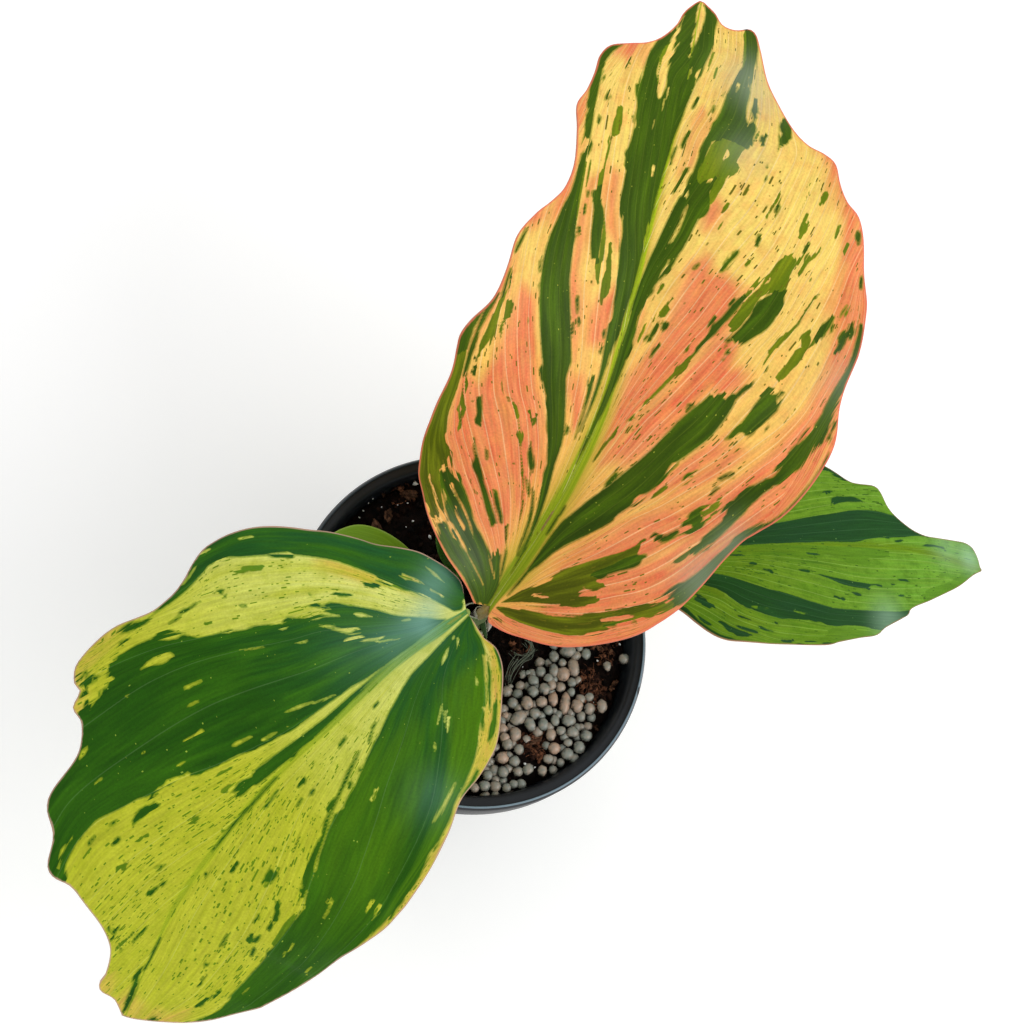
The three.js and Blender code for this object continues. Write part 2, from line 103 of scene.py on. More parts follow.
# A wing of sheath and a shred of ligule beside the stem, each between two lines seen from above
WING_LEFT = [(-0.8, 0.6), (-0.3, -1.4), (0.5, -3.3), (1.1, -4.6), (1.8, -5.7)]
WING_RIGHT = [(1.4, 0.6), (1.75, -1.4), (2, -3.3), (2.05, -4.6), (1.95, -5.9)]
WING_LEVEL = 94
SHRED_LEFT = [(2, 0), (2, -1.6), (2.2, -3.1)]
SHRED_RIGHT = [(2.8, -0.1), (3.5, -1.3), (2.4, -3.2)]
SHRED_LEVEL = 93.6

# Leaves: the midrib in the pot's frame, the margins on the flat leaf, the V between the halves
# and how soon it fades, the bend down at the sides, and the ruffle's height, length, reach and phase.
# The V is rounded at the midrib, the grid's rows crowd a little towards the foot, and a young leaf
# has five side veins from rib to margin.
BLADE_THICKNESS = 0.5
TROUGH_RADIUS = 3
ROWS_TO_FOOT = 1.12
YOUNG_VEINS = 5
LEAVES = {
    "leaf_peach": {
        "spine": [
            (0, 0.8, 104), (9.5, 16.5, 113), (16.2, 30.2, 123.5), (21.3, 46.9, 137),
            (24.3, 70, 151.5), (27.1, 89.8, 160), (31.3, 111.5, 165.5), (35.5, 130.5, 168),
            (40.3, 153.3, 168),
        ],
        "left": [
            (-1.7, -4), (0.5, -7.5), (2.3, -11.5), (5, -18.3), (10, -26.5), (15, -31.5),
            (20, -35.2), (30, -38.7), (44, -40.5), (57, -40.7), (66, -41.8), (70.5, -42),
            (75, -40.3), (81, -36.3), (88, -34.4), (96, -33.6), (102, -30.2), (106, -26.8),
            (110, -24.3), (116, -23.5), (124, -25), (130, -26.6), (135, -25), (140, -24.2),
            (145, -24), (149, -22), (152, -17.5), (155, -12.5), (159, -8.8), (165, -5.6),
            (170, -4.2), (174, -2), (176, -0.5),
        ],
        "right": [
            (-2.8, 1.3), (-3.8, 2.4), (-3.7, 4), (-3.6, 5.4), (-3.1, 8), (-1.9, 11.5), (0.5, 18),
            (4, 23.5), (10, 30), (17, 35.8),
            (25, 39.8), (32, 42), (44, 45), (48, 47.5), (53, 52), (60, 57), (65, 60.2), (69, 60.9),
            (75, 59.6), (82, 58.7), (95, 58.3), (103, 58.7), (111, 57.7), (119, 55.3), (125, 51.6),
            (128, 47.4), (132, 44.5), (137.5, 42.3), (139.6, 39), (140.8, 34.5), (144, 30),
            (150, 24.8), (156, 20.8), (165, 17.7), (169.5, 16), (171, 14), (169.8, 11.5),
            (169.4, 9), (170.4, 6.4), (173.5, 4.2), (176, 0.8),
        ],
        "cup": 0.34, "fade": 300, "droop": 0.0018, "wave": (2.2, 42, 50, 0.4),
        "rows": 200, "columns": 100, "petiole_end": 1.5, "keel_end": 0.7,
    },
    "leaf_lime": {
        "spine": [
            (-6.4, -1.3, 104), (-25.8, -17.6, 111), (-42, -34.9, 113.5), (-55.5, -49, 110.5),
            (-65.2, -61.8, 104), (-73.8, -75.3, 94.5), (-79.1, -89, 84), (-83, -100.8, 74),
        ],
        "left": [
            (0.3, -3), (1.2, -6.5), (1.5, -8.8), (1, -11), (1.3, -13.5), (4, -18), (10, -23.7),
            (16, -28.5), (22, -32), (28, -33.7), (34, -34.7), (42, -35.3), (50, -38.7),
            (58, -41.6), (66, -43.2), (72, -43.5), (79, -43.2), (86, -41.5), (93, -39.4),
            (104, -37.8), (111, -36.7), (118, -33.7), (124, -29.3), (129, -24.3), (133, -19.6),
            (135.8, -14.5), (138, -8.5), (139.6, -3), (140, -0.6),
        ],
        "right": [
            (-3.6, 6), (-3.9, 8), (-3, 11), (-1.5, 14), (2, 19), (6, 22.5), (12, 27), (15.5, 31),
            (20, 35.8), (24, 39.5), (27, 43), (30, 46.3), (33, 49), (36, 51), (39, 52.2),
            (42, 52.6), (48, 51.2), (56, 48.8), (60, 48.4), (63, 48.7), (66, 50.3), (69, 52.3),
            (72, 53.3), (76, 53.6), (79, 53), (81.2, 50.5), (81.6, 48.2), (84.8, 46.8), (86, 43),
            (90, 39.8), (94, 38.8), (101, 39), (104, 37.5), (107, 33), (111.5, 31), (113, 28.5),
            (113.2, 24), (115, 20), (119, 13.5), (124, 9.5), (130, 8.3), (133, 8.8), (135.3, 7.8),
            (136.2, 4.3), (138, 2.4), (140, 0.8),
        ],
        "cup": 0.22, "fade": 90, "droop": 0.002, "wave": (2.2, 32, 48, 2.2),
        "rows": 170, "columns": 95, "petiole_end": 1.1, "keel_end": 0.6,
    },
    "leaf_green": {
        "spine": [
            (24.4, 11, 102), (42.9, 17.2, 103), (74.1, 25.9, 100.5), (95.1, 29.6, 97),
            (117.2, 32.6, 92.5), (140.8, 34.6, 87), (167.1, 33.4, 79),
        ],
        "left": [
            (0, -2), (6, -3.5), (12, -7.5), (20, -14), (30, -20.5), (41, -26), (53, -29),
            (65, -30), (76, -29), (84, -27), (90, -24.3), (96, -20.3), (100, -19.5), (106, -19.3),
            (108.2, -17.5), (110, -12.8), (113, -9.6), (118, -6.6), (123, -5.4), (128, -5.7),
            (136, -6.7), (141, -7.2), (144.5, -6.3), (146.7, -3.5), (147.6, -0.6),
        ],
        "right": [
            (0, 2), (6, 3.5), (12, 7), (20, 11), (26, 15.6), (30, 20.5), (33, 23.8), (36, 26),
            (40, 27.4), (50, 29), (62, 30), (74, 30.9), (80, 30), (90, 28.4), (97, 27.5),
            (100.5, 25.3), (107, 22.7), (110.5, 21.2), (113, 19), (124, 15), (136, 8.8),
            (144, 2.9), (148, 0.6),
        ],
        "cup": 0.22, "fade": 90, "droop": 0.003, "wave": (1.2, 36, 30, 1),
        "rows": 150, "columns": 60, "petiole_end": 1.7, "keel_end": 0.6,
    },
    "leaf_small": {
        "spine": [
            (-15.4, 7.8, 88.2), (-22, 10.9, 91.4), (-30.3, 13.8, 93), (-38.3, 16.2, 92),
            (-43.8, 17.8, 89),
        ],
        "left": [
            (0, -1.2), (4, -5), (9, -8), (16, -9.3), (23, -8.3), (28.5, -5), (32.4, -0.5),
        ],
        "right": [
            (0, 1.2), (4, 5), (9, 8), (16, 9.5), (23, 8.6), (28.5, 5), (32.4, 0.5),
        ],
        "cup": 0.25, "fade": 60, "droop": 0.006, "wave": (0.5, 20, 9, 0),
        "rows": 40, "columns": 12, "petiole_end": 1.1, "keel_end": 0.5,
    },
    "leaf_spear": {
        "spine": [
            (-6, 12, 90), (-5.4, 15.5, 93), (-7.2, 22.3, 97), (-8.6, 30, 99), (-8, 38.5, 98),
        ],
        "left": [
            (0, -1.1), (4, -4.2), (9, -6.3), (15, -6.2), (21, -4.6), (26, -2.6), (30.4, -0.5),
        ],
        "right": [
            (0, 1.1), (4, 4.2), (9, 6.3), (15, 6.2), (21, 4.6), (26, 2.6), (30.4, 0.5),
        ],
        "cup": 0.3, "fade": 60, "droop": 0.008, "wave": (0.4, 20, 7, 1),
        "rows": 40, "columns": 12, "petiole_end": 1.1, "keel_end": 0.5,
    },
}

# The side shoots' leaves share one slot
SLOTS = {"leaf_small": "leaf_young", "leaf_spear": "leaf_young"}

# Petioles, from inside the stem or the ground to the foot of each midrib, and their radius there
PETIOLES = {
    "leaf_peach": [(-1.5, 0.5, 67), (-1.5, 0.5, 84), (-1.1, 0.7, 94), (-0.5, 0.3, 100)],
    "leaf_lime": [(-4.6, -0.6, 88), (-5.5, -1, 95), (-6, -1.1, 99)],
    "leaf_green": [(2.7, 1.2, 88), (4.4, 2, 93), (9, 4.4, 98), (16, 7.8, 101.2)],
    "leaf_small": [(-10.5, 5.5, 63.5), (-10.5, 5.5, 78), (-10.7, 5.6, 85.5)],
    "leaf_spear": [(-7, 9.5, 63), (-7, 9.5, 78), (-6.9, 9.7, 85.5)],
}
PETIOLE_FOOT = {
    "leaf_peach": 1.5, "leaf_lime": 1.0, "leaf_green": 1.3, "leaf_small": 1.3, "leaf_spear": 1.3,
}

# Fertiliser prills that show on the soil: place, half width, half height, turn in degrees and
# tint from grey-green at 0 to warm beige at 1
PRILLS = [
    (24.1, -6, 1.5, 1.75, 10, 0.1), (27.7, -4.5, 2.4, 1.75, 0, 0.15), (31, -3.2, 1.1, 1.2, 0, 0.1),
    (33.1, -4.8, 1.5, 1.7, -15, 0), (44.4, -5.5, 1.6, 1.6, 0, 0.2), (39.3, -7.9, 1.2, 1.5, 5, 0.3),
    (29.4, -9, 1.7, 2.6, 8, 0.5), (26.2, -7.7, 1.2, 1.2, 0, 0.1), (23.6, -10.2, 1.45, 1.9, 5, 0.2),
    (26.3, -11.1, 2, 2.1, 0, 0.75), (20, -10.7, 1.55, 1.55, 0, 0.1), (17.7, -13.4, 1.65, 1.5, 0, 0),
    (14.3, -14.8, 1.5, 1.3, 20, 0.35), (11.6, -15.1, 0.8, 0.65, 0, 0.2),
    (17.5, -16.6, 1.65, 1.65, 0, 0.05), (20.9, -15.6, 1.7, 1.7, 0, 0.25),
    (23, -14.2, 1.3, 1.7, 0, 0.6), (22, -12.5, 1.4, 1.3, 0, 0.1), (25.7, -14.7, 1.45, 1.5, 0, 0.45),
    (28.9, -13.2, 1.4, 1.4, 0, 0.1), (28.7, -15.9, 1.2, 1.3, 0, 0), (12.1, -19.9, 1.6, 1.55, 0, 0.1),
    (15.8, -19.9, 1.75, 2, 0, 0.55), (19.9, -19.4, 1.7, 1.6, 0, 0.6),
    (23.6, -18.1, 1.45, 2.1, 0, 0.8), (26.9, -19.2, 1.5, 3.3, -8, 0.7),
    (30.3, -19.7, 1.75, 1.9, 0, 0.65), (34, -20.1, 1.7, 1.8, 0, 0.35),
    (37.5, -19.3, 1.5, 2, 0, 0.45), (31.6, -22.4, 1.35, 1.6, 0, 0.2),
    (13.5, -24, 1.75, 2.8, -48, 0.35), (18, -22.6, 1.65, 1.6, 0, 0.1),
    (21.8, -21.6, 1.4, 1.4, 0, 0), (23.9, -21.4, 0.9, 0.95, 0, 0), (10, -23.4, 1.05, 0.95, 20, 0.9),
    (16.7, -25.6, 1.6, 2.1, 25, 0.15), (20.5, -25.4, 1.55, 1.85, 0, 0.05),
    (23.7, -24.3, 1.3, 1.65, 0, 0.1), (27.6, -24.1, 2.1, 1.65, 10, 0.1),
    (8.9, -27.3, 1.6, 1.6, 0, 0.7), (12.5, -28.6, 1.7, 2.1, -10, 0.5),
    (9.3, -29.8, 1.4, 1.4, 0, 0.7), (22.7, -28.1, 1.45, 1.9, -10, 0.6),
    (25.4, -27, 1.4, 1.3, 0, 0.2), (28.7, -27.2, 1.8, 1.6, 0, 0.2), (31.8, -25.2, 1.1, 1, 0, 0.2),
    (32.7, -27.9, 1.8, 1.7, 0, 0.05), (10.1, -31.6, 1.6, 1.6, 0, 0.3), (13.5, -32.6, 1.5, 1.5, 0, 0.2),
    (23.7, -31.6, 1.75, 1.65, 0, 0.85), (27.5, -30, 1.3, 1.2, 0, 0.1),
    (30.6, -31.2, 1.65, 1.9, 0, 0.05), (27.4, -33.2, 1.8, 1.8, 0, 0.05),
    (22, -34.7, 1.6, 1.3, 0, 0.3), (25.6, -35.4, 1.2, 1.3, 0, 0.1), (12.2, -35.9, 1.6, 1.5, 0, 0.1),
    (8.8, -35.2, 1.9, 1.6, 0, 0.8), (10, -33.9, 0.8, 0.7, 0, 0.95), (20.2, -38, 1.35, 1.5, 0, 0.4),
    (9.2, -38.9, 1.65, 1.6, 0, 0.05), (5.1, -39.9, 1.5, 1.5, 0, 0.1), (5.3, -36.8, 0.9, 0.9, 0, 0.2),
    (3.9, -42.9, 1.6, 1.5, 0, 0.1), (7.1, -42.8, 1.6, 1.5, 0, 0.3), (10.2, -43.1, 1.35, 1.3, 0, 0),
    (12.2, -42, 1.3, 1.2, 0, 0), (14.4, -41.7, 1.5, 1.4, 0, 0), (1.2, -43.6, 1.4, 1.3, 0, 0.4),
    (16.3, -11.2, 0.95, 0.75, 20, 0), (5.6, -28, 1.6, 1.6, 0, 0.2), (5.2, -31.4, 1.6, 1.5, 0, 0.1),
    (2, -34.5, 1.6, 1.6, 0, 0.3), (5.6, -33.9, 1.3, 1.3, 0, 0.5), (1.4, -38, 1.6, 1.6, 0, 0.1),
    (-1.6, -36.2, 1.5, 1.5, 0, 0.2), (-2.1, -40.6, 1.6, 1.5, 0, 0.4), (27, -1.2, 1.6, 1.6, 0, 0.2),
    (30.6, 0, 1.5, 1.5, 0, 0.1), (24, -2.8, 1.5, 1.4, 0, 0.1), (6, -24.4, 1.5, 1.5, 0, 0.3),
]

# Perlite grains: place and size. Bark: place, half width, half height and turn in degrees
PERLITE = [
    (36.7, -6.3, 0.55), (14.8, -9.7, 0.3), (35.2, -18.4, 0.4), (38, -26.5, 0.35),
    (18.1, -37.2, 0.55), (15.2, -36.4, 0.6), (12.4, -38.2, 0.4), (35.2, -1.8, 0.7),
    (23, -1.9, 0.45), (43.4, -1.2, 0.5), (-17, 29.8, 0.5), (-11.8, 26, 0.8), (-16.6, 41.3, 1.2),
    (-18.3, 35.6, 0.4), (-21.2, 34.6, 0.45), (-28.6, 35.2, 0.4), (-31, 31.5, 0.45),
    (-29.7, 33.8, 0.35), (-32, 29.6, 0.4), (-19, 27.7, 0.35), (-26, 33, 0.35), (2, 38, 0.8),
    (20, 30, 0.9), (-35, -12, 0.8), (-20, -30, 0.9), (-30, 5, 0.6),
]
BARK = [
    (-24.2, 39.4, 3, 1.3, 75), (-17.8, 38, 2.8, 1.4, -35), (-21.4, 41.6, 1.8, 0.9, 15),
    (-27.4, 27.3, 1.1, 4, 8), (-24, 30.4, 1, 2.4, -10), (42.2, -12, 1.3, 0.7, 40),
    (41.2, -13.6, 0.8, 0.5, 0), (44.6, -11.6, 1.2, 0.5, -15), (38, -2.4, 1.5, 0.6, -60),
    (41, -4, 1.3, 0.5, 70), (14, -5.2, 0.9, 0.5, 30), (16.6, -30, 2.6, 1.4, 20),
    (36.4, -24.4, 0.6, 0.9, 5), (8, 30, 3, 1.5, 40), (-34, 12, 2.6, 1.4, 100),
    (-12, -33, 3.2, 1.6, 10), (32, 22, 3, 1.4, -30), (-30, -20, 2.6, 1.4, 60),
]
# Places where coir lies thick: centre, spread, number of crumbs, with a third as many strands
COIR = [
    ((34.5, -12.5), 4.5, 90), ((15.5, -30.5), 3, 45), ((18.5, -32.5), 3, 45), ((36, -19), 2.6, 20),
    ((40, -4), 4, 30), ((-20, 38), 5, 20), ((14, -5), 3.4, 16), ((10, 25), 9, 24),
    ((-30, -12), 9, 24), ((-8, -30), 8, 24),
]
# The plant's own fine roots on the mix, seen from above
FINE_ROOTS = [
    [(17, -1.6), (17.8, -3.6), (16.8, -6), (14.6, -8), (12.6, -10.8), (11.6, -13.4)],
    [(15.2, -2), (16.6, -3.6), (17.2, -5.2), (15.4, -7.4), (13.6, -9)],
    [(13, -7.6), (11.6, -9.8), (10.8, -12.6), (11, -14.6)],
    [(11, -6), (13.5, -7.2), (16, -6.8), (18.6, -5)],
]

# Painted sheen on the flat leaf, pale patches that stand in for reflections on the wax: along, to the
# side, spread and strength
PAINTED_SHEEN = {
    "leaf_peach": [
        (6, -12, 6, 0.12), (12, -20, 5, 0.1), (34, 40.5, 6, 0.3), (44, 43, 5, 0.25),
        (82, 58, 7, 0.2), (155, 15.5, 7, 0.35), (148, 21, 5, 0.2), (134, 19, 6, 0.2),
    ],
    "leaf_lime": [
        (10, 5, 4.5, 0.3), (17, 5, 5, 0.22), (14, 2.5, 4, 0.22), (24, 4, 6, 0.16),
        (6, 10, 5, 0.25), (0, 12, 5, 0.2), (32, 8, 9, 0.06), (45, -30, 6, 0.1),
    ],
    "leaf_green": [
        (102, 23, 6, 0.3), (143, -2.5, 5, 0.4), (132, -3, 6, 0.2),
    ],
}

# Markings, drawn on each leaf laid flat: millimetres along the midrib, then to the side,
# in turn. An area is its corners, and a stroke in "_lines" is its width, then its points. A clear
# place shows the ground, and a flush is warmer ground.
# Depths are measured this far from an edge, and the edge's slant over a short way along a vein
MARK_REACH = 5.0
PROBE = 0.4
MARKINGS = {leaf: {} for leaf in ("leaf_peach", "leaf_lime", "leaf_green")}
MARKINGS["leaf_peach"]["dark"] = [
    [21.6, 19.6, 24, 20.2, 27, 22.6, 30, 25.3, 32, 25.5, 31.8, 23.8, 30, 22.5, 27.5, 20.5, 24.5, 18.2,
     22, 16.8, 20.5, 17],
    [27, 39.5, 29, 41, 34, 42.3, 40, 43.6, 45, 45.6, 48, 48, 51, 51, 50, 47.5, 46, 43.4, 42, 42.4, 38, 41,
     35, 39.6, 32, 38, 29, 36.5, 27, 35.4],
    [5, 2.3, 9, 2.9, 13, 3.2, 17, 4.6, 21, 5.7, 25, 7.6, 29, 10.1, 33, 12.7, 35.6, 14.3, 37, 14.2,
     41, 16.5, 45, 18.4, 49, 20.5, 51, 20.8, 55, 22.4, 58, 24.8, 62, 28, 66, 30.1, 70, 31.5, 71.6, 31.6,
     72, 30.5, 70.6, 29.3, 71, 27.8, 70.8, 26.7, 71.2, 25.2, 69, 24, 66, 21.6, 62, 18.6, 58, 16.6,
     54, 14.8, 50, 12.7, 46.5, 11, 43, 9.5, 40, 8, 37, 6.4, 33, 4.9, 29, 3.4, 25, 2.9, 20, 2.7, 13, 2.7],
    [40.5, 8, 43, 8.2, 46.9, 9.3, 46.9, 10.2, 44, 9.9],
    [37, 36.4, 39, 37.8, 43, 39.3, 48, 41.3, 52, 42.9, 55, 44.9, 58, 48, 61, 51.7, 63, 53.7, 65.6, 55.6,
     65.8, 57, 69, 58.1, 76, 58.6, 84, 58.6, 91, 58.5, 96, 58, 96, 57, 90, 56.8, 84, 57.1, 78, 56.2,
     72, 55.4, 68.5, 53.4, 64.5, 50.7, 63.7, 48.8, 61, 48, 58.2, 45.3, 56, 42.6, 53, 39.8, 50, 38.4,
     47.5, 38.8, 44, 37, 41, 35.8, 38, 35.1],
    [42.2, 30.2, 44.2, 30.4, 43.4, 28.8, 46, 30.4, 47.2, 32, 47.5, 33.2, 46, 34.2, 44, 34.1, 42.8, 32.8,
     43.6, 32.2],
    [62, 31.5, 63, 33.5, 64, 35, 63.7, 36.5, 64.5, 38, 66, 39.3, 67.5, 40.3, 70, 42.2, 72.5, 43.2,
     74.2, 43.8, 76.2, 44.1, 76.2, 42.5, 75.3, 41.5, 74.6, 40.2, 74.6, 38.3, 73, 38.2, 70.5, 36.8,
     68, 35.7, 66, 34.6, 64.5, 33.3, 63, 32.3],
    [71, 30.8, 73, 32, 75.5, 33.8, 78, 35.3, 80.3, 36.5, 80.6, 37.3, 79, 37.3, 76.5, 35.8, 74.5, 34.6,
     72.5, 32.9, 71, 31.8],
    [82.5, 28.2, 83.8, 29, 85, 30.2, 87, 31.8, 89, 33.5, 90.5, 34.7, 92.5, 35.6, 93.6, 35.3, 94.5, 36.4,
     96.5, 36.9, 99.3, 36.7, 98.3, 35, 98, 33.3, 97, 32.3, 96.4, 31, 95, 30.2, 93.5, 30, 91.5, 29.3,
     88, 27.8, 84.3, 25.7, 84.8, 26.7, 84, 27.8],
    [59.2, 7, 60.5, 7.6, 61.2, 8.3, 60.4, 8.9, 59.6, 8],
    [78, 17.8, 81, 19.2, 84, 20.3, 86.5, 20.2, 89, 20.8, 88.8, 21.8, 90, 23, 92.5, 24.3, 95.2, 25.9,
     95.4, 26.6, 93.5, 26.3, 91.5, 25.4, 89, 24, 86, 22.4, 83, 20.8, 80, 19],
    [89.3, 52.7, 90.5, 52.8, 92.5, 53.3, 94, 54, 95.7, 54, 95.8, 55.2, 92.5, 55.2, 92.2, 54.3, 90.5, 54.1,
     89.2, 53.7],
    [90.3, 47.2, 91.5, 47.5, 93.5, 48.4, 95.9, 49.2, 95.8, 49.7, 93.5, 49.2, 91.5, 48.6, 90.3, 48.3],
    [44, -0.7, 50, -0.6, 56, -0.1, 60, 0.4, 64, 0.7, 68, 1.3, 72, 1.9, 76, 2.3, 80, 2.6, 85, 2.5, 88, 3.1,
     92, 4.1, 96, 5, 97.6, 5.8, 97.8, 6.9, 100, 8, 105, 9.7, 110, 10.7, 114, 11.6, 117.5, 12.9, 121, 12.7,
     124, 12.7, 122.7, 10.8, 121.7, 9.8, 122.5, 8.7, 125, 8.4, 130, 9.6, 134, 10.3, 135.4, 11.7, 136, 13,
     135.6, 14.6, 136, 16, 135.5, 17.4, 135, 19.4, 138, 20, 141, 20.6, 143, 21.1, 146, 21.1, 145.6, 20.1,
     148, 19.4, 149, 18.7, 146, 18.2, 143, 18.6, 141.3, 18.1, 143, 17.1, 146, 16.8, 152, 17, 160, 17,
     166, 16.7, 169.5, 16, 172, 14.6, 171, 12.9, 167, 13.6, 161, 14.4, 157, 13.9, 155, 13, 152, 12,
     148, 11.2, 143, 10.7, 140, 9.9, 136, 8.8, 131, 7.6, 129, 8, 124, 7.5, 118, 5.8, 114, 4.8, 110, 4,
     106, 3.2, 103, 2.6, 100, 1.9, 96, 1.3, 92, 0.7, 88, 0.4, 80, 0.3, 75, -0.1, 66, -0.6, 60, -1,
     52, -1.2],
    [101, 19.7, 103, 20.1, 105, 21, 106.4, 21.8, 107.2, 23.2, 106, 23, 104.5, 22.2, 102.5, 21.2,
     101.2, 20.6],
    [137.5, 27.3, 138, 28.3, 139.3, 29.5, 141, 30, 143, 29.6, 145, 29.3, 146.5, 27.4, 144.5, 26.2,
     143, 26.3, 142.4, 27, 141, 26.6, 139.5, 27],
    [137.7, 22.1, 139, 22, 140, 22.5, 139.6, 23.1, 138, 23],
    [117.8, 3.7, 119.5, 4, 122, 4.5, 125, 5, 125.7, 6.2, 123.5, 5.9, 121, 5.1, 118.5, 4.6],
    [126, 0.2, 132, 0.5, 138, 1.2, 144, 1.9, 150, 2.8, 155, 3.8, 160, 4.7, 166, 5.1, 172.5, 5, 175, 2.6,
     176.5, 0.8, 173, 1.7, 169, 1.8, 164, 1.2, 160, 0.3, 157.5, -0.3, 162, -1, 168, -0.8, 173, -0.6,
     177, -0.4, 174, -2.6, 171, -4, 168, -4.9, 163, -4.2, 158, -4.9, 151, -5.4, 145, -5, 141.5, -5.4,
     141, -6.4, 148, -8.3, 152, -8.4, 155, -8.4, 158, -7, 163, -6, 168, -4.8, 165, -6, 160, -9,
     156, -10.5, 153, -11.4, 146, -11.8, 140.5, -12.2, 136, -11, 129, -10.4, 125, -10.4, 123.5, -10.8,
     120, -10.6, 119, -9.8, 115, -9.5, 111, -9.6, 109, -9, 107.5, -7.8, 105, -7, 103, -6.7, 100, -6.5,
     94, -5.6, 90, -5, 82, -4.8, 78, -4.5, 74, -4.2, 68, -3.7, 60, -3.7, 52, -3.5, 64, -3, 70, -2.8,
     74, -2.5, 78, -1.8, 79, -1.2, 84, -1.1, 90, -0.7, 96, -0.5, 110, -0.3, 120, -0.1],
    [50, -4, 54, -4.2, 58, -4.5, 62, -4.7, 66.9, -5, 66.2, -5.7, 67.2, -6.4, 65, -6.2, 62, -5.5, 58, -5,
     54, -4.7],
    [10, -0.3, 16, -0.7, 22, -1.7, 26, -2.3, 30, -3.2, 34, -4.1, 38, -5.1, 42, -6, 47, -6.6, 50, -7.3,
     54, -8.7, 58, -10, 62, -11.4, 65, -12.3, 70, -12.3, 75, -13.8, 80, -15.3, 85, -16.7, 89, -18,
     94, -18.7, 102, -19.6, 109, -20.3, 114, -20.6, 120, -21, 130, -21.9, 139, -22.4, 144, -22.4,
     148, -21, 151, -18.8, 152.5, -18.5, 150, -22, 145, -25.5, 138, -24.6, 132, -24, 129.5, -23.3,
     128, -23.7, 124, -22.9, 117, -22.5, 113, -22.3, 109, -22.6, 104, -24, 98, -25.4, 94, -25.7,
     90, -25.6, 86, -25, 82, -24.2, 78, -23, 74, -21.7, 70, -20.2, 68, -19.2, 65.5, -19.4, 63.3, -18.6,
     62, -17.6, 59, -15.6, 56, -14.5, 53, -13.1, 50, -11.9, 47, -10.3, 44, -9, 41, -7.7, 38, -7.3,
     35, -6.2, 31, -4.9, 27, -3.6, 22, -2.3, 16, -1.2],
    [45, -28.4, 46.5, -29, 49, -29.6, 51, -30.5, 52.9, -31.3, 52.8, -32, 51, -31.9, 49, -31, 46.5, -30,
     45.2, -29.6],
    [37.7, -10.7, 39, -10.8, 41, -12, 42.2, -12.8, 44.6, -14.3, 43, -14, 41.5, -13.5, 39.5, -12.3,
     38.3, -11.5],
    [20.3, -9.8, 22, -10.8, 24, -12.8, 26, -14.5, 27.4, -15.6, 27.3, -16.6, 26, -15.8, 24, -14.2, 22, -12,
     20.5, -10.6],
    [17.8, -11.8, 19.5, -11.2, 21, -12.8, 22.5, -14.5, 24, -16, 26, -18, 28, -20, 30, -21.5, 33.5, -24,
     36, -25.8, 39.6, -28.1, 39.4, -28.5, 37, -27.3, 34.5, -25.8, 32.5, -25.3, 30.5, -24.3, 29, -22.5,
     27, -20.6, 23, -17, 21, -15, 19.5, -13.3],
    [0, -0.8, 3, -0.9, 6, -1.4, 8, -2.6, 10.5, -4.3, 13, -5.6, 11.7, -7.2, 10.6, -6.8, 12.5, -10,
     14, -12.5, 15.3, -15, 17, -17.3, 19, -18.7, 21.5, -21.3, 23, -23, 24.5, -25, 26, -26, 26, -28,
     28, -29.4, 24, -31, 18, -27, 12, -22, 10, -25.5, 8, -23, 4.6, -16, 2.6, -10, -1.2, -3.6],
    [95.8, -11.7, 98, -12, 101, -12.2, 105.5, -12.6, 107.5, -13.3, 109.5, -13.9, 112.3, -14.7, 111, -16.7,
     109, -16.2, 107, -15.7, 104, -15.3, 101, -14.9, 98.5, -14.4, 96.5, -13.8, 95.5, -13.5],
    [66.5, -39.4, 73, -39.4, 77, -38.4, 81, -36.6, 80, -38.8, 75, -42, 68, -43.5, 62, -42.5],
]
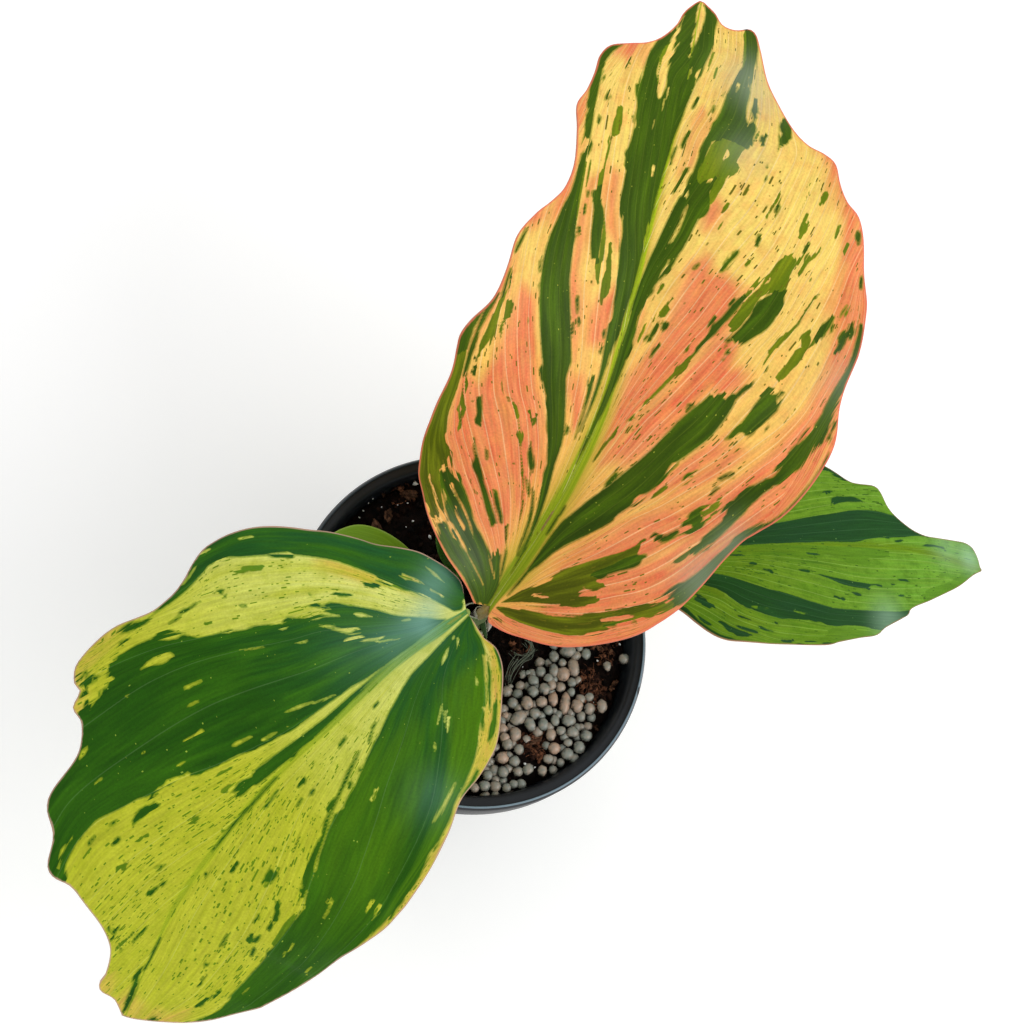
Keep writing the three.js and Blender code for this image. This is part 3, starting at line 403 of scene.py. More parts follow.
MARKINGS["leaf_peach"]["dark_lines"] = [
    [0.7, 48, 47, 53, 51.9, 60, 56.8, 65, 60], [0.5, 51.2, 25.2, 53.4, 27.3],
    [0.45, 53, 21.8, 54.5, 22.5], [0.5, 54.3, 33.2, 56.5, 35.8], [0.4, 51, 33, 53, 33.9],
    [0.8, 36.4, 26.6, 38.2, 28.6, 40.8, 30.1], [0.5, 65.6, 41, 66.8, 41.8], [0.6, 67.2, 58.6, 68.5, 59],
    [0.6, 69.3, 59.2, 71.6, 59.6], [0.8, 80.7, 26.3, 82.2, 27], [0.4, 78.7, 25.6, 79.4, 26],
    [0.4, 75.8, 7.9, 78.5, 8.6], [0.5, 80.5, 6.7, 83.1, 7.4], [0.4, 83.3, 9, 84.4, 9.4],
    [0.4, 79.3, 5.3, 80.7, 5.9], [0.5, 57.3, 8.8, 57.9, 9.4], [0.5, 66.3, 20, 67.4, 20.9],
    [0.4, 93.5, 24.1, 94.7, 24.8], [0.35, 96.5, 51.8, 100.5, 53.4], [0.5, 99.8, 13, 100.6, 13.9],
    [0.6, 105.7, 56.9, 110.6, 57], [0.6, 119, 53.6, 121.7, 52.4], [0.5, 110.6, 27.3, 111.9, 27.6],
    [0.5, 119.5, 30.1, 121.5, 30.2], [0.5, 130.6, 25.2, 132, 25.4], [0.5, 127.8, 25.6, 129, 25.7],
    [0.5, 112.7, 40.2, 113.8, 40.1], [0.5, 130.5, 3.1, 134, 3.7], [0.35, 126, 1.1, 130.5, 1.7],
    [0.4, 142, 3.5, 144.5, 4], [0.35, 142, 8.5, 144.5, 8.8], [0.6, 50.6, -6.7, 52.9, -7.1],
    [0.4, 50, -32.5, 51.4, -33], [0.5, 31, -8.2, 35.5, -11.1], [0.5, 35, -22.3, 38, -23.8],
    [0.35, 54, -24, 57, -26, 60, -27.4], [0.5, 78, -5.4, 80, -5.6], [0.4, 73.5, -5.2, 75.2, -5.3],
    [0.4, 77.5, -14, 80, -14.5], [0.4, 83, -14.1, 85.4, -14.7], [0.4, 79.5, -12.7, 80.6, -12.8],
    [0.4, 76.8, -26.3, 78.3, -26.5], [0.35, 88.5, -25.9, 92.5, -26.7], [0.5, 85.5, -25.3, 86.5, -25.5],
    [0.7, 57, -37.3, 66, -38.2, 73, -38.1], [0.8, 73, -38.1, 78, -37.1, 82, -35.6],
    [0.35, 82, -34.2, 88, -33.4], [0.4, 92, -33.2, 98, -31.7], [0.5, 109.6, -18.2, 111, -18.3],
    [0.5, 101, -18.1, 102, -18.4], [0.4, 106, -18.2, 107, -18.3], [0.4, 131.5, -11.4, 134, -11.9],
    [0.5, 127.5, -20, 129.5, -20.1], [0.5, 134.6, -19.3, 136, -19.4], [0.4, 138.8, -21.5, 140.6, -21.7],
    [0.4, 146, -16.1, 147.3, -15.9], [0.5, 60, -35.2, 61, -35.3], [0.45, 15, -1.6, 25, -4.2, 33, -7.6],
    [0.35, 8, -2.2, 14, -4.6, 20, -8.5], [0.35, 30, 1.9, 33, 1.9], [0.45, 24, 1.7, 30, 1.7],
    [0.5, 17.5, 31.8, 18.4, 33], [0.4, 12.9, 26.6, 15, 29.2],
]
MARKINGS["leaf_peach"]["olive"] = [
    [0.5, 1.5, 0.2, 5, 1, 9, 3, 15, 5.5, 20.5, 8, 24, 11, 27, 13.4, 28.6, 13.2, 27, 16, 30, 18.5, 32.2,
     20, 35, 22.5, 36.3, 25.5, 38.5, 27.2, 39.5, 27, 35.5, 24, 33.2, 20, 29.5, 17, 26, 14, 23, 11.5, 20,
     9.5, 16.8, 7.5, 14.5, 6, 11, 4.5, 7.5, 2.5, 4, 1, 1.5],
    [2.3, 1.8, 4, 4.5, 5.5, 7.5, 7.5, 11, 9.5, 13.8, 11.5, 16.2, 12.6, 18.3, 14.2, 19.9, 17, 20.5,
     16, 17.8, 17.5, 18, 19.2, 20.2, 21.5, 21.8, 21.8, 19.6, 24, 20.2, 27, 22.6, 32, 24, 34.5, 23.2,
     32, 21.3, 29, 18.5, 26, 16, 23.5, 14, 21, 12, 18.5, 10, 16, 9, 13.5, 8.5, 11, 6.5, 8, 4.3, 5, 3],
    [45.5, 34, 48, 35.5, 50.5, 36.4, 52, 36.3, 53.9, 37.8, 54, 37.3, 52.3, 35.8, 51.5, 35, 50, 34.8,
     48.5, 33.2, 46.8, 31, 46, 31.5],
    [61.5, 50.5, 63, 52, 64.3, 52.3, 63.5, 50.2, 62, 49],
    [76.8, 41.6, 77.5, 41.2, 78.2, 39.7, 79, 40.3, 81, 41, 84, 42.2, 87, 42.6, 90.2, 42.8, 91, 43.6,
     91.7, 44.7, 90.2, 46, 88.5, 46.1, 86, 45.5, 83.5, 45, 81, 43.7, 79, 42.8],
    [80, 35.8, 82, 36, 83, 36.5, 84.3, 36, 86, 36.8, 88, 37.4, 89.3, 38.3, 90.3, 39.8, 92.5, 41.2,
     95.5, 42.6, 95.4, 43, 92, 42, 89.8, 40.6, 87.5, 39.2, 85, 38.4, 82.5, 37.4, 80.3, 36.9],
    [98.3, 43.9, 99.8, 44.3, 101, 45.5, 99.5, 45.2],
    [87, 26.8, 87.3, 24.8, 88.5, 24.5, 92, 26.2, 95, 27.6, 98.5, 29.6, 101, 31, 104, 32.4, 106.5, 33.3,
     108.9, 34.7, 109.2, 36, 110.3, 37.4, 108.5, 38.1, 106, 38, 103, 37, 99.5, 36, 98.4, 34.5, 98.2, 33.2,
     97.2, 32.2, 95, 30.2, 93.5, 29.9, 91, 29, 88.5, 27.8],
    [96.2, 52.3, 97.5, 52.5, 99, 53.2, 100.6, 54.3, 99.5, 54.1, 98, 53.6, 96.5, 53.3],
    [86.9, 7.8, 88.5, 7.9, 91.2, 9, 91, 9.4, 89, 8.9, 87, 8.4],
    [78.6, 15.6, 79.5, 15.7, 81.7, 16.7, 81.9, 17.2, 80, 16.8, 78.8, 16.5],
    [104.8, 40, 106, 39.7, 108, 40.2, 110, 40.7, 112.3, 41.3, 111.5, 42, 114.2, 43.4, 113, 43.7,
     111, 43.2, 110, 42, 108, 41.2, 106, 40.6],
    [103.6, 42.4, 105, 42.7, 106, 43.3, 105, 43.6, 104, 43.3],
    [118.4, 47, 120, 46.7, 121.6, 46.8, 121.9, 47.5, 120, 47.5, 119, 47.9],
    [125.7, 40.8, 127, 40.8, 127.9, 41.4, 127.2, 42, 126, 41.7],
    [117.5, 27.6, 119, 27.9, 121.5, 28.6, 124, 29.4, 127, 29.8, 125, 30, 122, 29.7, 119, 28.8,
     117.6, 28.3],
    [117.5, 13, 118.3, 14, 120, 15, 123, 15.7, 126, 16.3, 127, 17.5, 128.5, 18.7, 130, 18.5, 131, 17.8,
     133, 18.5, 135.5, 18.5, 136, 16, 135.6, 14.5, 136, 13, 135.3, 11.5, 134, 10.3, 131, 9.7, 128, 9,
     124.5, 8, 122.3, 8.5, 121.5, 9.8, 122.5, 10.8, 124, 12.5, 121, 12.5, 118.5, 12.6],
    [156.5, 13.9, 160, 14.6, 164, 14.4, 168, 14, 171.5, 13.8, 169.5, 12.2, 166, 13, 160, 13.6],
    [49, -14.8, 51, -15.2, 53, -16, 53, -17.8, 51.5, -17.2, 50.5, -16.4, 49.5, -16],
    [12, -22, 18, -27, 24, -31, 27.5, -29.4, 32, -31.2, 34, -33, 35.3, -34.6, 38, -35, 43, -36.6,
     50, -37.4, 58, -38.1, 66.5, -39.2, 66, -43.5, 52, -42.5, 44, -42.2, 32, -40.4, 20, -36.5, 13, -30,
     9.5, -26],
    [40, -32.5, 42, -32.3, 44, -32.9, 47, -33.6, 50, -34.8, 53, -35.6, 58, -37, 54.5, -36.8, 51, -36,
     48, -35.5, 45, -34.5, 42.5, -33.3],
    [66, -36, 68, -35.7, 70, -34.7, 73, -33.9, 76, -33.8, 79, -33.9, 82, -33.3, 85, -32.8, 82.5, -34,
     79, -35.2, 75, -36, 71, -36.5, 68.5, -36.7],
    [78.2, -30.5, 81, -30.6, 81.4, -31.5, 80.8, -32.5, 79, -32.5, 78, -31.5],
    [85.5, -8.2, 87.5, -7.2, 90, -6.5, 93, -7.3, 96, -8, 98.5, -8.7, 99.8, -9.8, 97, -9.8, 94, -9.7,
     90, -9.3, 87.5, -8.9],
    [89.5, -9.8, 94, -10, 98, -10.3, 100.5, -10.8, 105, -12, 108, -13.2, 103, -12.4, 99, -12, 96, -11.6,
     93, -11.2, 90.5, -10.7],
    [118, -15.4, 121, -15.3, 125.5, -15.5, 125.8, -14.4, 127.5, -13.8, 130.5, -14.1, 134.6, -14.7,
     134.8, -16, 132.5, -16.6, 129.5, -16.6, 126, -16.1, 121, -16.1, 118.2, -15.9],
    [99.8, -19.5, 104, -19.4, 109, -19.8, 118, -20.4, 118, -21, 112, -20.9, 104, -20.9, 100, -20.7],
    [141.5, -6.3, 148, -7.6, 153, -7.3, 158, -6.6, 157, -8.2, 152, -8.6, 146, -8, 140.5, -6.9],
]
MARKINGS["leaf_peach"]["olive_lines"] = [
    [0.5, -1.8, 2.6, -1.6, 4, -1.6, 5.4],
    [0.7, 60.5, 8.3, 64, 9.9, 67, 11.3, 70, 13, 73, 14.8, 77, 17.2, 80, 18.9],
    [0.5, 33.5, 32.2, 35.5, 33.9, 38, 35.1], [0.8, 45, 20.2, 47.5, 21.6, 49.5, 23],
    [0.45, 66, 43.8, 69, 46, 72, 47.7], [0.6, 46, 2.9, 51, 3.7, 55.8, 5.1], [0.6, 78.6, 3.9, 83.4, 5],
    [0.5, 84, 5.6, 86, 6], [0.6, 92.5, 6, 94, 6.6], [0.6, 99.8, 28.3, 101.4, 28.9],
    [0.6, 104, 26, 105.3, 26.4], [0.7, 137.8, 20.7, 141, 21.5], [0.4, 119, 36.1, 124, 36.6, 129, 37.5],
    [1, 116.8, 38.2, 119.4, 39], [0.8, 119, 37.8, 122.3, 38.3], [0.5, 115.5, 51.3, 117.4, 50.9],
    [0.5, 111, 16.8, 115, 18], [0.5, 116, 17, 118, 17.6], [0.7, 123, 21.4, 124.4, 21.8],
    [0.6, 152, 7, 156, 7.3], [0.6, 155, 5, 161, 5.8], [0.7, 133.2, -12.9, 136.7, -13.3],
    [0.5, 112, -19.1, 118.3, -19.6], [0.5, 112.5, -15.3, 118, -15.6], [0.4, 72, -32, 78, -32.3],
    [0.5, 20, -5, 30, -9, 40, -14.8, 50, -20, 56, -24.3],
]
MARKINGS["leaf_peach"]["clear"] = [
    [7.7, 15, 9, 17, 11, 20.5, 11.5, 21, 11.3, 20.2, 9.8, 18, 8.8, 15.5],
    [8.4, 7.5, 9.3, 9.5, 10.8, 11.8, 11, 11, 10, 9, 9, 7.3],
    [102.5, 5, 105, 5.5, 108, 6.3, 111, 7, 114, 7.2, 116.6, 8.3, 115.5, 8.5, 112, 8, 108.5, 7.5, 106, 6.7,
     104, 5.4],
    [130, 14.2, 131.5, 13.5, 132.6, 14.2, 131.5, 14.6],
    [133.2, -5.5, 136.3, -5.5, 136, -5.9, 131.8, -5.8],
    [7.7, -12.5, 8.6, -13.5, 10, -15.2, 11.3, -18.4, 10.3, -17.8, 8.7, -15.5],
    [12.8, -17.2, 13.8, -18, 15, -20.3, 16.5, -22.3, 15.8, -21.9, 14, -20.4],
    [43.5, -34.1, 46, -34.6, 48.5, -35.4, 46, -35],
]
MARKINGS["leaf_peach"]["clear_lines"] = [
    [0.7, 13.6, 25.4, 17, 29.2, 19, 31.8], [0.5, 13, -14.5, 16, -18, 21.8, -26],
    [0.45, 17, -25.3, 20, -27.5, 22, -28.6], [0.4, 11, -20, 14, -26, 21, -32.6],
    [0.45, 2.5, 2.4, 5.5, 6.4, 7.5, 9.8, 10.5, 14.6], [0.5, 121, -2.8, 122.6, -2.9],
    [0.5, 137, -4.3, 141, -4.5], [0.5, 142.3, -3.8, 145, -4], [0.5, 97.5, 6.3, 100.5, 6.6],
    [0.4, 150.5, 13.4, 152.2, 13.6], [0.5, 6.6, -3.2, 10.4, -7.6], [0.35, 3.5, -4.5, 6, -9, 8, -13],
    [0.45, 169, -3.8, 165, -4.5, 159, -5], [1.1, 173.5, 1.2, 168, 0.6, 164, 0.2],
    [0.6, 165, 0.2, 161, -0.1, 157.7, -0.2], [0.3, 153, 0.5, 150, 0.4], [0.4, 156, 15.9, 153, 15.7],
]
MARKINGS["leaf_peach"]["flush"] = [
    [-5, 1, -5, 12, 2, 23, 7, 26, 5, 16, 1, 6, -0.5, 1],
    [-6, 1, -6, 12, 6, 30, 27, 44, 46, 47, 46, 26, 36, 17, 28, 12.5, 20, 9, 12, 9, 6, 12, 3, 6],
    [44, 47, 60, 60, 70, 63, 98, 62, 122, 58, 134, 46, 142, 44, 140, 38, 136, 41, 128, 44, 122, 49,
     112, 52, 98, 49, 82, 52, 72, 51, 64, 44, 58, 39, 50, 30, 44, 25],
    [38, 12, 46, 22, 54, 32, 61, 37.5, 62.5, 33, 61, 28, 54, 22],
    [47, 5, 50, 13, 62, 18.5, 71, 25, 70.5, 29, 73, 32.5, 77, 33, 78.5, 29.5, 84, 28, 86, 25.5, 93, 26.5,
     98.5, 28, 99, 23, 100, 17.5, 104, 16, 101, 12, 90, 9.5, 80, 8, 70, 3.2, 60, 3.5],
    [110, 13.5, 113, 16, 117, 16.5, 118, 14.5, 116, 12.5], [78, 2.5, 79, 4.5, 86, 4, 89, 2.6],
    [124, 4.5, 126, 7.3, 134, 8.4, 141, 9.5, 141.5, 6.5, 134, 5.2],
    [11, -7, 18, -19, 26, -28, 37, -35, 50, -37.5, 58, -38, 57, -33, 66, -31, 78, -30.5, 84, -29.5,
     84.5, -25, 76, -23, 66, -20, 58, -15.5, 48, -11, 40, -9, 30, -7.5, 20, -6.5, 14, -5.5],
    [36, -7, 50, -12, 62, -18, 72, -21, 60, -24, 48, -17, 40, -12],
    [54, -5.5, 62, -11.2, 68, -12, 66, -9, 60, -6.4], [76, -5, 76.5, -8.5, 81, -9, 86, -8, 90, -5.2],
    [70, -11.5, 80, -15.5, 90, -18.3, 104, -19.4, 114, -19, 116, -15.6, 110, -17, 100, -15.5, 92, -16.5,
     84, -13],
    [100, -7, 104, -12, 112, -14.5, 119, -14.5, 118, -10, 108, -9],
    [100, -26, 98, -36, 104, -30, 112, -24.5, 122, -24, 131, -29, 136, -25, 128, -23.6, 118, -22.6,
     108, -22.8],
    [148, -12, 147, -20, 152, -24, 158, -12, 153, -10.5],
    [66, -39, 76, -37.6, 90, -35, 96, -34.6, 84, -33.6, 74, -36.8],
]
MARKINGS["leaf_lime"]["dark"] = [
    [-6, 5, 1, 1.2, 3.2, 2, 5, 4.8, 7.5, 8.2, 10, 11, 11.5, 12.5, 13, 13.6, 14.6, 16.2, 17, 20, 20, 24.2,
     23, 28.6, 26, 32.4, 30, 37.2, 33, 40.4, 36, 43.4, 38.5, 46.3, 41, 48, 43, 48.5, 48, 48.1, 54, 47.3,
     59, 47.2, 63.5, 48, 58, 48.5, 54, 49.4, 48, 52.5, 42, 55, 34, 54, 24, 45, 12, 31, 2, 23, -6, 12],
    [64, 47.2, 66, 47.7, 68, 49, 69.3, 50.2, 69, 50.6, 67, 50.1, 65.5, 48.8, 64.3, 48],
    [7, 1.4, 9, 2.4, 11, 3.8, 15, 6.3, 18, 8.3, 20, 10, 22.5, 13, 25, 15.6, 27, 18, 29, 20.6, 30.6, 22.4,
     31.8, 22.4, 31.2, 20.8, 31, 19.3, 30.5, 17.5, 33, 19.8, 36, 22.3, 38, 24.2, 40, 26, 41, 25.5,
     42, 25.5, 44, 27.6, 47, 29.8, 50, 30.8, 52, 32, 55, 33.8, 58, 35.2, 60, 36, 61, 39, 62.5, 41,
     64, 42.2, 67, 44.3, 69, 45.6, 71.5, 46.7, 73.5, 47.4, 74, 46.5, 75.3, 45.8, 76.4, 46.1, 76.7, 44.5,
     77.5, 43.8, 79.5, 44.7, 79.8, 44.5, 78.5, 43.7, 81, 43.5, 83.3, 43.3, 82.5, 44, 81.5, 44.5,
     81.4, 45.8, 80.7, 46.5, 80.6, 47.3, 81.8, 47.5, 82.3, 46.3, 83.5, 45.5, 85.5, 44.6, 88, 43, 92, 41,
     104, 41, 110, 34, 115, 30, 115, 25, 112.6, 26, 112, 26.6, 110, 27.3, 108, 27.4, 105.5, 27.5, 103, 27,
     100, 26.2, 98, 25, 95, 23.2, 92, 22.1, 89, 19.9, 86, 18.8, 83, 17.5, 81, 16.6, 79.8, 16.3,
     79.7, 15.2, 78, 14, 76, 12.5, 73, 11, 70, 9.8, 67, 8, 64, 7, 61, 6.3, 58, 5.5, 55, 5, 50, 4.5,
     44, 3.6, 40, 3.1, 36, 2, 30, 1.2, 20, 0.8, 13, 1.2],
    [27, 0.6, 36, 1.1, 42, 1.6, 50, 2, 58, 2.8, 65, 3.6, 72, 4.7, 77.7, 5, 76.3, 4.1, 76.8, 3.2, 74, 2.2,
     69, 1.3, 62, 0.7, 52, 0.5, 40, 0.5],
    [54.5, 43.4, 57, 43.5, 58, 44.1, 59.5, 44.3, 60, 43.7, 61.8, 43.5, 60, 43.1, 57.5, 42.9],
    [77.6, 47, 78.3, 46.8, 79, 47.5, 80, 47.9, 80.3, 48.5, 79.5, 49.1, 78.5, 49, 78.3, 48.2],
    [89.3, 16.6, 91, 16.6, 93.5, 17.2, 95.5, 18, 97.4, 18.9, 97.2, 19.8, 95.5, 20, 94, 19.9, 91, 18.8,
     89.5, 18.2, 90, 17.3],
    [100.6, 19.4, 102, 19.6, 102.8, 20.1, 102, 20.5, 101, 20],
    [100, 7.2, 101.5, 7.7, 102.4, 8.8, 101.3, 8.5, 100.5, 7.8],
    [124.5, 0.6, 127, 0.9, 131, 0.2, 134, 0, 138, 0.4, 139.5, 0.9, 137, 1.4, 134, 1.2, 131, 1.1, 128, 1.5,
     126, 1.5],
    [0, -1.2, 4, -1.8, 7, -2.2, 10, -2.6, 14, -3.3, 18, -4, 22, -4.5, 26, -5, 30, -5.9, 34, -7, 38, -8,
     42, -9.3, 44, -10.1, 47, -10.8, 50, -12, 52, -13, 54, -13.7, 56, -14.7, 58, -15.2, 60, -15.8,
     61.5, -16.5, 64, -16.1, 66, -16.9, 68, -17.8, 70, -18.6, 72, -19.4, 75, -20.4, 78, -21.9, 81, -23,
     84, -23.6, 88, -24.8, 92, -25.3, 98, -25.3, 102, -25.2, 106, -24.9, 110, -24.8, 113, -24.4,
     116, -23.7, 119, -23, 122, -22, 124, -21.3, 126, -21.3, 129, -20.6, 131, -19.3, 133, -17.5,
     134.5, -16, 138, -12.5, 138, -17, 130, -26, 120, -35, 108, -40, 94, -41, 88, -40.6, 84, -41.3,
     79, -41.9, 74, -42.3, 68, -42.2, 64, -41.8, 60, -40.7, 57, -39.5, 54.5, -38.1, 52, -38, 49, -36.9,
     46, -35.8, 44, -34.6, 41, -33.7, 38, -33.3, 35, -32.3, 31, -31, 28, -29.5, 25.5, -28.3, 24, -27,
     22, -25.8, 20, -24.5, 18.5, -23, 17, -22, 15.5, -22.4, 14, -21, 12, -19, 10, -16.5, 8, -14.5,
     6.3, -12.5, 5.5, -11.3, 5.2, -12, 4.5, -11.5, 3.3, -9.5, 2.6, -8, 2, -5.5, 1, -3.5],
    [50, -9.3, 55, -11, 60, -13.2, 64, -14.7, 68, -16, 70, -16.9, 73, -17.9, 77, -19, 80, -19.9, 83, -21,
     85.5, -21.8, 86.5, -22.5, 86, -23.3, 83, -22.6, 80, -21.6, 77, -20.3, 73, -19, 70, -17.9, 66, -16.2,
     62, -14.6, 58, -13, 54, -11.2],
    [6, -14.3, 7.3, -16.5, 9, -18.3, 11, -20, 13, -22, 15.5, -24.3, 14.5, -22.8, 12.5, -20.7, 10.5, -18.6,
     8.5, -17, 7.3, -15.5],
    [12, -23.3, 13.2, -23.2, 15, -25, 17, -26.5, 20, -28, 22.7, -29.8, 19.5, -29, 17, -28, 14.5, -25.8,
     13, -24.6],
    [16.8, -21.8, 18, -22.8, 20, -25, 22.5, -27.4, 20, -26, 18, -24],
    [85.5, -13.3, 87.5, -13.4, 88.8, -14, 88, -15, 88.5, -15.5, 86, -15.3],
    [90, -17.8, 91.5, -19, 93, -20.4, 95.5, -21, 95, -21.8, 92.8, -21.4, 91.3, -20.1],
    [117.3, -12.4, 118.5, -12.3, 119.3, -13, 118, -13.3],
]
MARKINGS["leaf_lime"]["dark_lines"] = [
    [0.4, 68, -0.4, 80, -0.15, 90.5, 0.15], [0.8, 45.8, 41.5, 47.3, 41.8], [0.5, 46, 40.1, 47.2, 40.1],
    [0.5, 78, 50, 79.5, 50.6], [0.5, 69, 47.8, 71, 48.9], [0.6, 19, 18, 20.8, 19.8],
    [0.6, 31.5, 20.5, 33.2, 24.2], [0.4, 26, 20.5, 27.8, 22], [0.5, 32, 26, 32.8, 27],
    [0.5, 44.5, 34.8, 46, 36], [0.5, 86, 21, 88, 22], [0.4, 103, 24.6, 104.8, 24.9],
    [0.4, 98, 22.4, 100.2, 23.4], [0.5, 117, 12.8, 119.6, 11.4], [0.5, 118.3, 10.4, 120, 10.3],
    [0.5, 122, 7.1, 124, 7.5], [0.6, 103.4, 5.2, 104.4, 5.3], [0.4, 105.7, 5.9, 107.2, 6.5],
    [0.4, 115, 4, 120, 5.4], [0.35, 116, -0.3, 126, 0.1], [0.6, 31.5, -33.2, 36, -34.3, 41, -34.9],
    [0.6, 62.2, -13.6, 64.5, -14.7], [0.6, 56.4, -13.3, 57.5, -13.9], [0.5, 52.4, -12.6, 53.3, -13],
    [0.5, 49.8, -4.8, 52.8, -5.2], [0.35, 70, -2.7, 74.4, -3.2], [0.4, 64.5, -5.2, 66.2, -5.7],
    [0.5, 63.7, -8.6, 65.7, -9.1], [0.4, 90, -6.2, 91.5, -6.3], [0.4, 67.5, -8.2, 69.8, -8.7],
    [0.35, 96.8, -17.9, 98.5, -18.2], [0.5, 93.7, -18, 94.8, -18.1], [0.6, 103.3, -19.3, 105.3, -19.4],
    [0.4, 102, -20.8, 104, -20.5], [0.6, 107, -21.4, 111, -21.6], [0.5, 97, -21.3, 98.6, -21.9],
    [0.4, 125, -18.1, 126.2, -18.1], [0.7, 128.5, -16, 130, -15.5], [0.4, 121.7, -13.5, 123.3, -13.1],
    [0.6, 137.4, -7.4, 139, -5.3], [0.5, 95.6, -1.9, 97.4, -2], [0.3, 107, -14.2, 112, -14.2],
    [0.35, 42, -7.3, 44.5, -7.9, 47, -9.4], [0.4, 38, -4.3, 40, -4.5],
    [0.7, 1, -12, 4.5, -18.6, 10.4, -24.2],
]
MARKINGS["leaf_lime"]["olive"] = [
    [11, 11.4, 13, 13.2, 14.5, 15, 15.6, 16.4, 14.2, 16.3, 12.5, 14],
    [34.8, 38, 36.5, 38.6, 38.5, 40.7, 39.8, 41.3, 40, 43.2, 39, 43.7, 37.5, 42, 36, 40.3, 35, 39.4],
    [55, 37, 56.5, 37.5, 57, 38.6, 56, 38.7, 55.3, 38],
    [60.7, 36.8, 61.2, 39, 62.3, 41.2, 63.5, 40, 65, 39, 65, 37.5, 64, 37, 62, 36.4],
    [32, 13.3, 33.5, 15, 35, 16.5, 37, 18, 38.5, 20.5, 39.8, 22.3, 40.5, 22, 39, 20, 38, 18, 36, 16.3,
     34, 14, 33, 13],
    [61, 7.1, 64, 7.6, 67, 8.8, 70, 10, 73, 12, 73.7, 12.3, 72.5, 13, 70.5, 13, 68, 11.5, 66, 10.8,
     64, 9.5],
    [81, 13.3, 82, 13.5, 83, 14, 83.3, 14.7, 82, 14.8, 81.2, 14.2],
    [85, 6.7, 86.5, 7, 88, 7.4, 88.5, 8.2, 89, 9, 87.5, 8.8, 86.3, 8],
    [73.5, 8.8, 75, 9.3, 77, 10, 78.1, 10.8, 75.5, 10.3, 74, 9.5],
    [98, 15, 99, 15.3, 99.7, 16.5, 98.7, 16.2],
    [103.6, 15.7, 104.5, 15.3, 105.6, 16.3, 106.7, 15.5, 106.5, 14.6, 105, 14, 104.3, 14.7],
    [117, 5.5, 118.5, 6, 121, 6.5, 122, 7.4, 124, 8.2, 122.5, 8.5, 120.5, 7.7, 118.5, 6.7, 117.2, 6.5],
    [90, -24.2, 94, -23.7, 98, -24, 102, -24.1, 103, -25.4, 98, -25.6, 92, -25.5],
    [72.2, -29.2, 75, -29.5, 77, -29.6, 78.5, -30.7, 76, -30.4, 73.5, -30.1],
    [117.5, -7.1, 119.5, -6.8, 121.6, -6.4, 121.3, -7.3, 119.5, -7.4],
    [83.5, -20.8, 86.3, -22, 86.6, -23, 84.5, -22.6],
]
MARKINGS["leaf_lime"]["olive_lines"] = [
    [0.5, 76, 6.5, 78.6, 7], [0.7, 86.3, 14.1, 88.5, 14.7], [0.6, 59, -3.8, 60.5, -4.2],
    [0.5, 74.3, -13.8, 79.5, -15.2], [0.8, 68.5, -38.9, 73, -38.6], [0.5, 75, -31.6, 79.5, -32.2],
]
MARKINGS["leaf_lime"]["clear"] = [
    [4.6, 7.8, 5.2, 9.2, 6, 11.3, 7.5, 13.5, 9, 15.5, 10.3, 17, 11.2, 18.1, 11.8, 17, 11.3, 15.5,
     9.8, 14.5, 8.5, 13, 7.5, 11.5, 6.5, 9.8],
    [0.4, 8.5, 1, 10.5, 1.8, 13, 2.8, 15, 3.8, 16.3, 3.5, 15, 2.6, 13.2, 2.2, 11.3, 1.3, 9.7],
    [29, 11.5, 30.8, 12.4, 32.2, 13.8, 33.6, 15.6, 35.6, 19.6, 34.9, 19, 33, 16.7, 31.5, 14.8, 30.4, 14],
    [25, 13.2, 26.6, 13.8, 27.4, 15.3, 26, 14.8],
    [66, 37.5, 67.5, 38, 69, 39, 70.5, 40.1, 72, 40.9, 70.8, 40.9, 69.5, 40.3, 68, 39.4, 66.5, 38.6],
    [106.5, 29.3, 107.5, 30, 109, 29.4, 110, 29, 111.9, 28.8, 111.9, 27.3, 110.5, 27.9, 108.8, 28.7],
    [11.5, -4.9, 13, -5.2, 15, -6, 16.5, -6.9, 17.5, -7.6, 16, -7.5, 14.5, -7, 13, -6],
    [7.2, -4.2, 8, -4.2, 9, -5.4, 10, -6.7, 9, -6.4, 8, -5.6],
    [11.3, -14.6, 12.2, -15.3, 13.8, -17, 13, -17.5, 12, -16.8, 11.5, -15.8],
    [82.7, -29.2, 85, -29.6, 87.7, -30, 87.6, -30.7, 85, -30.5, 82.8, -30],
    [97.3, -28.1, 99, -28.1, 101, -28.4, 99.5, -28.8, 97.7, -28.7],
]
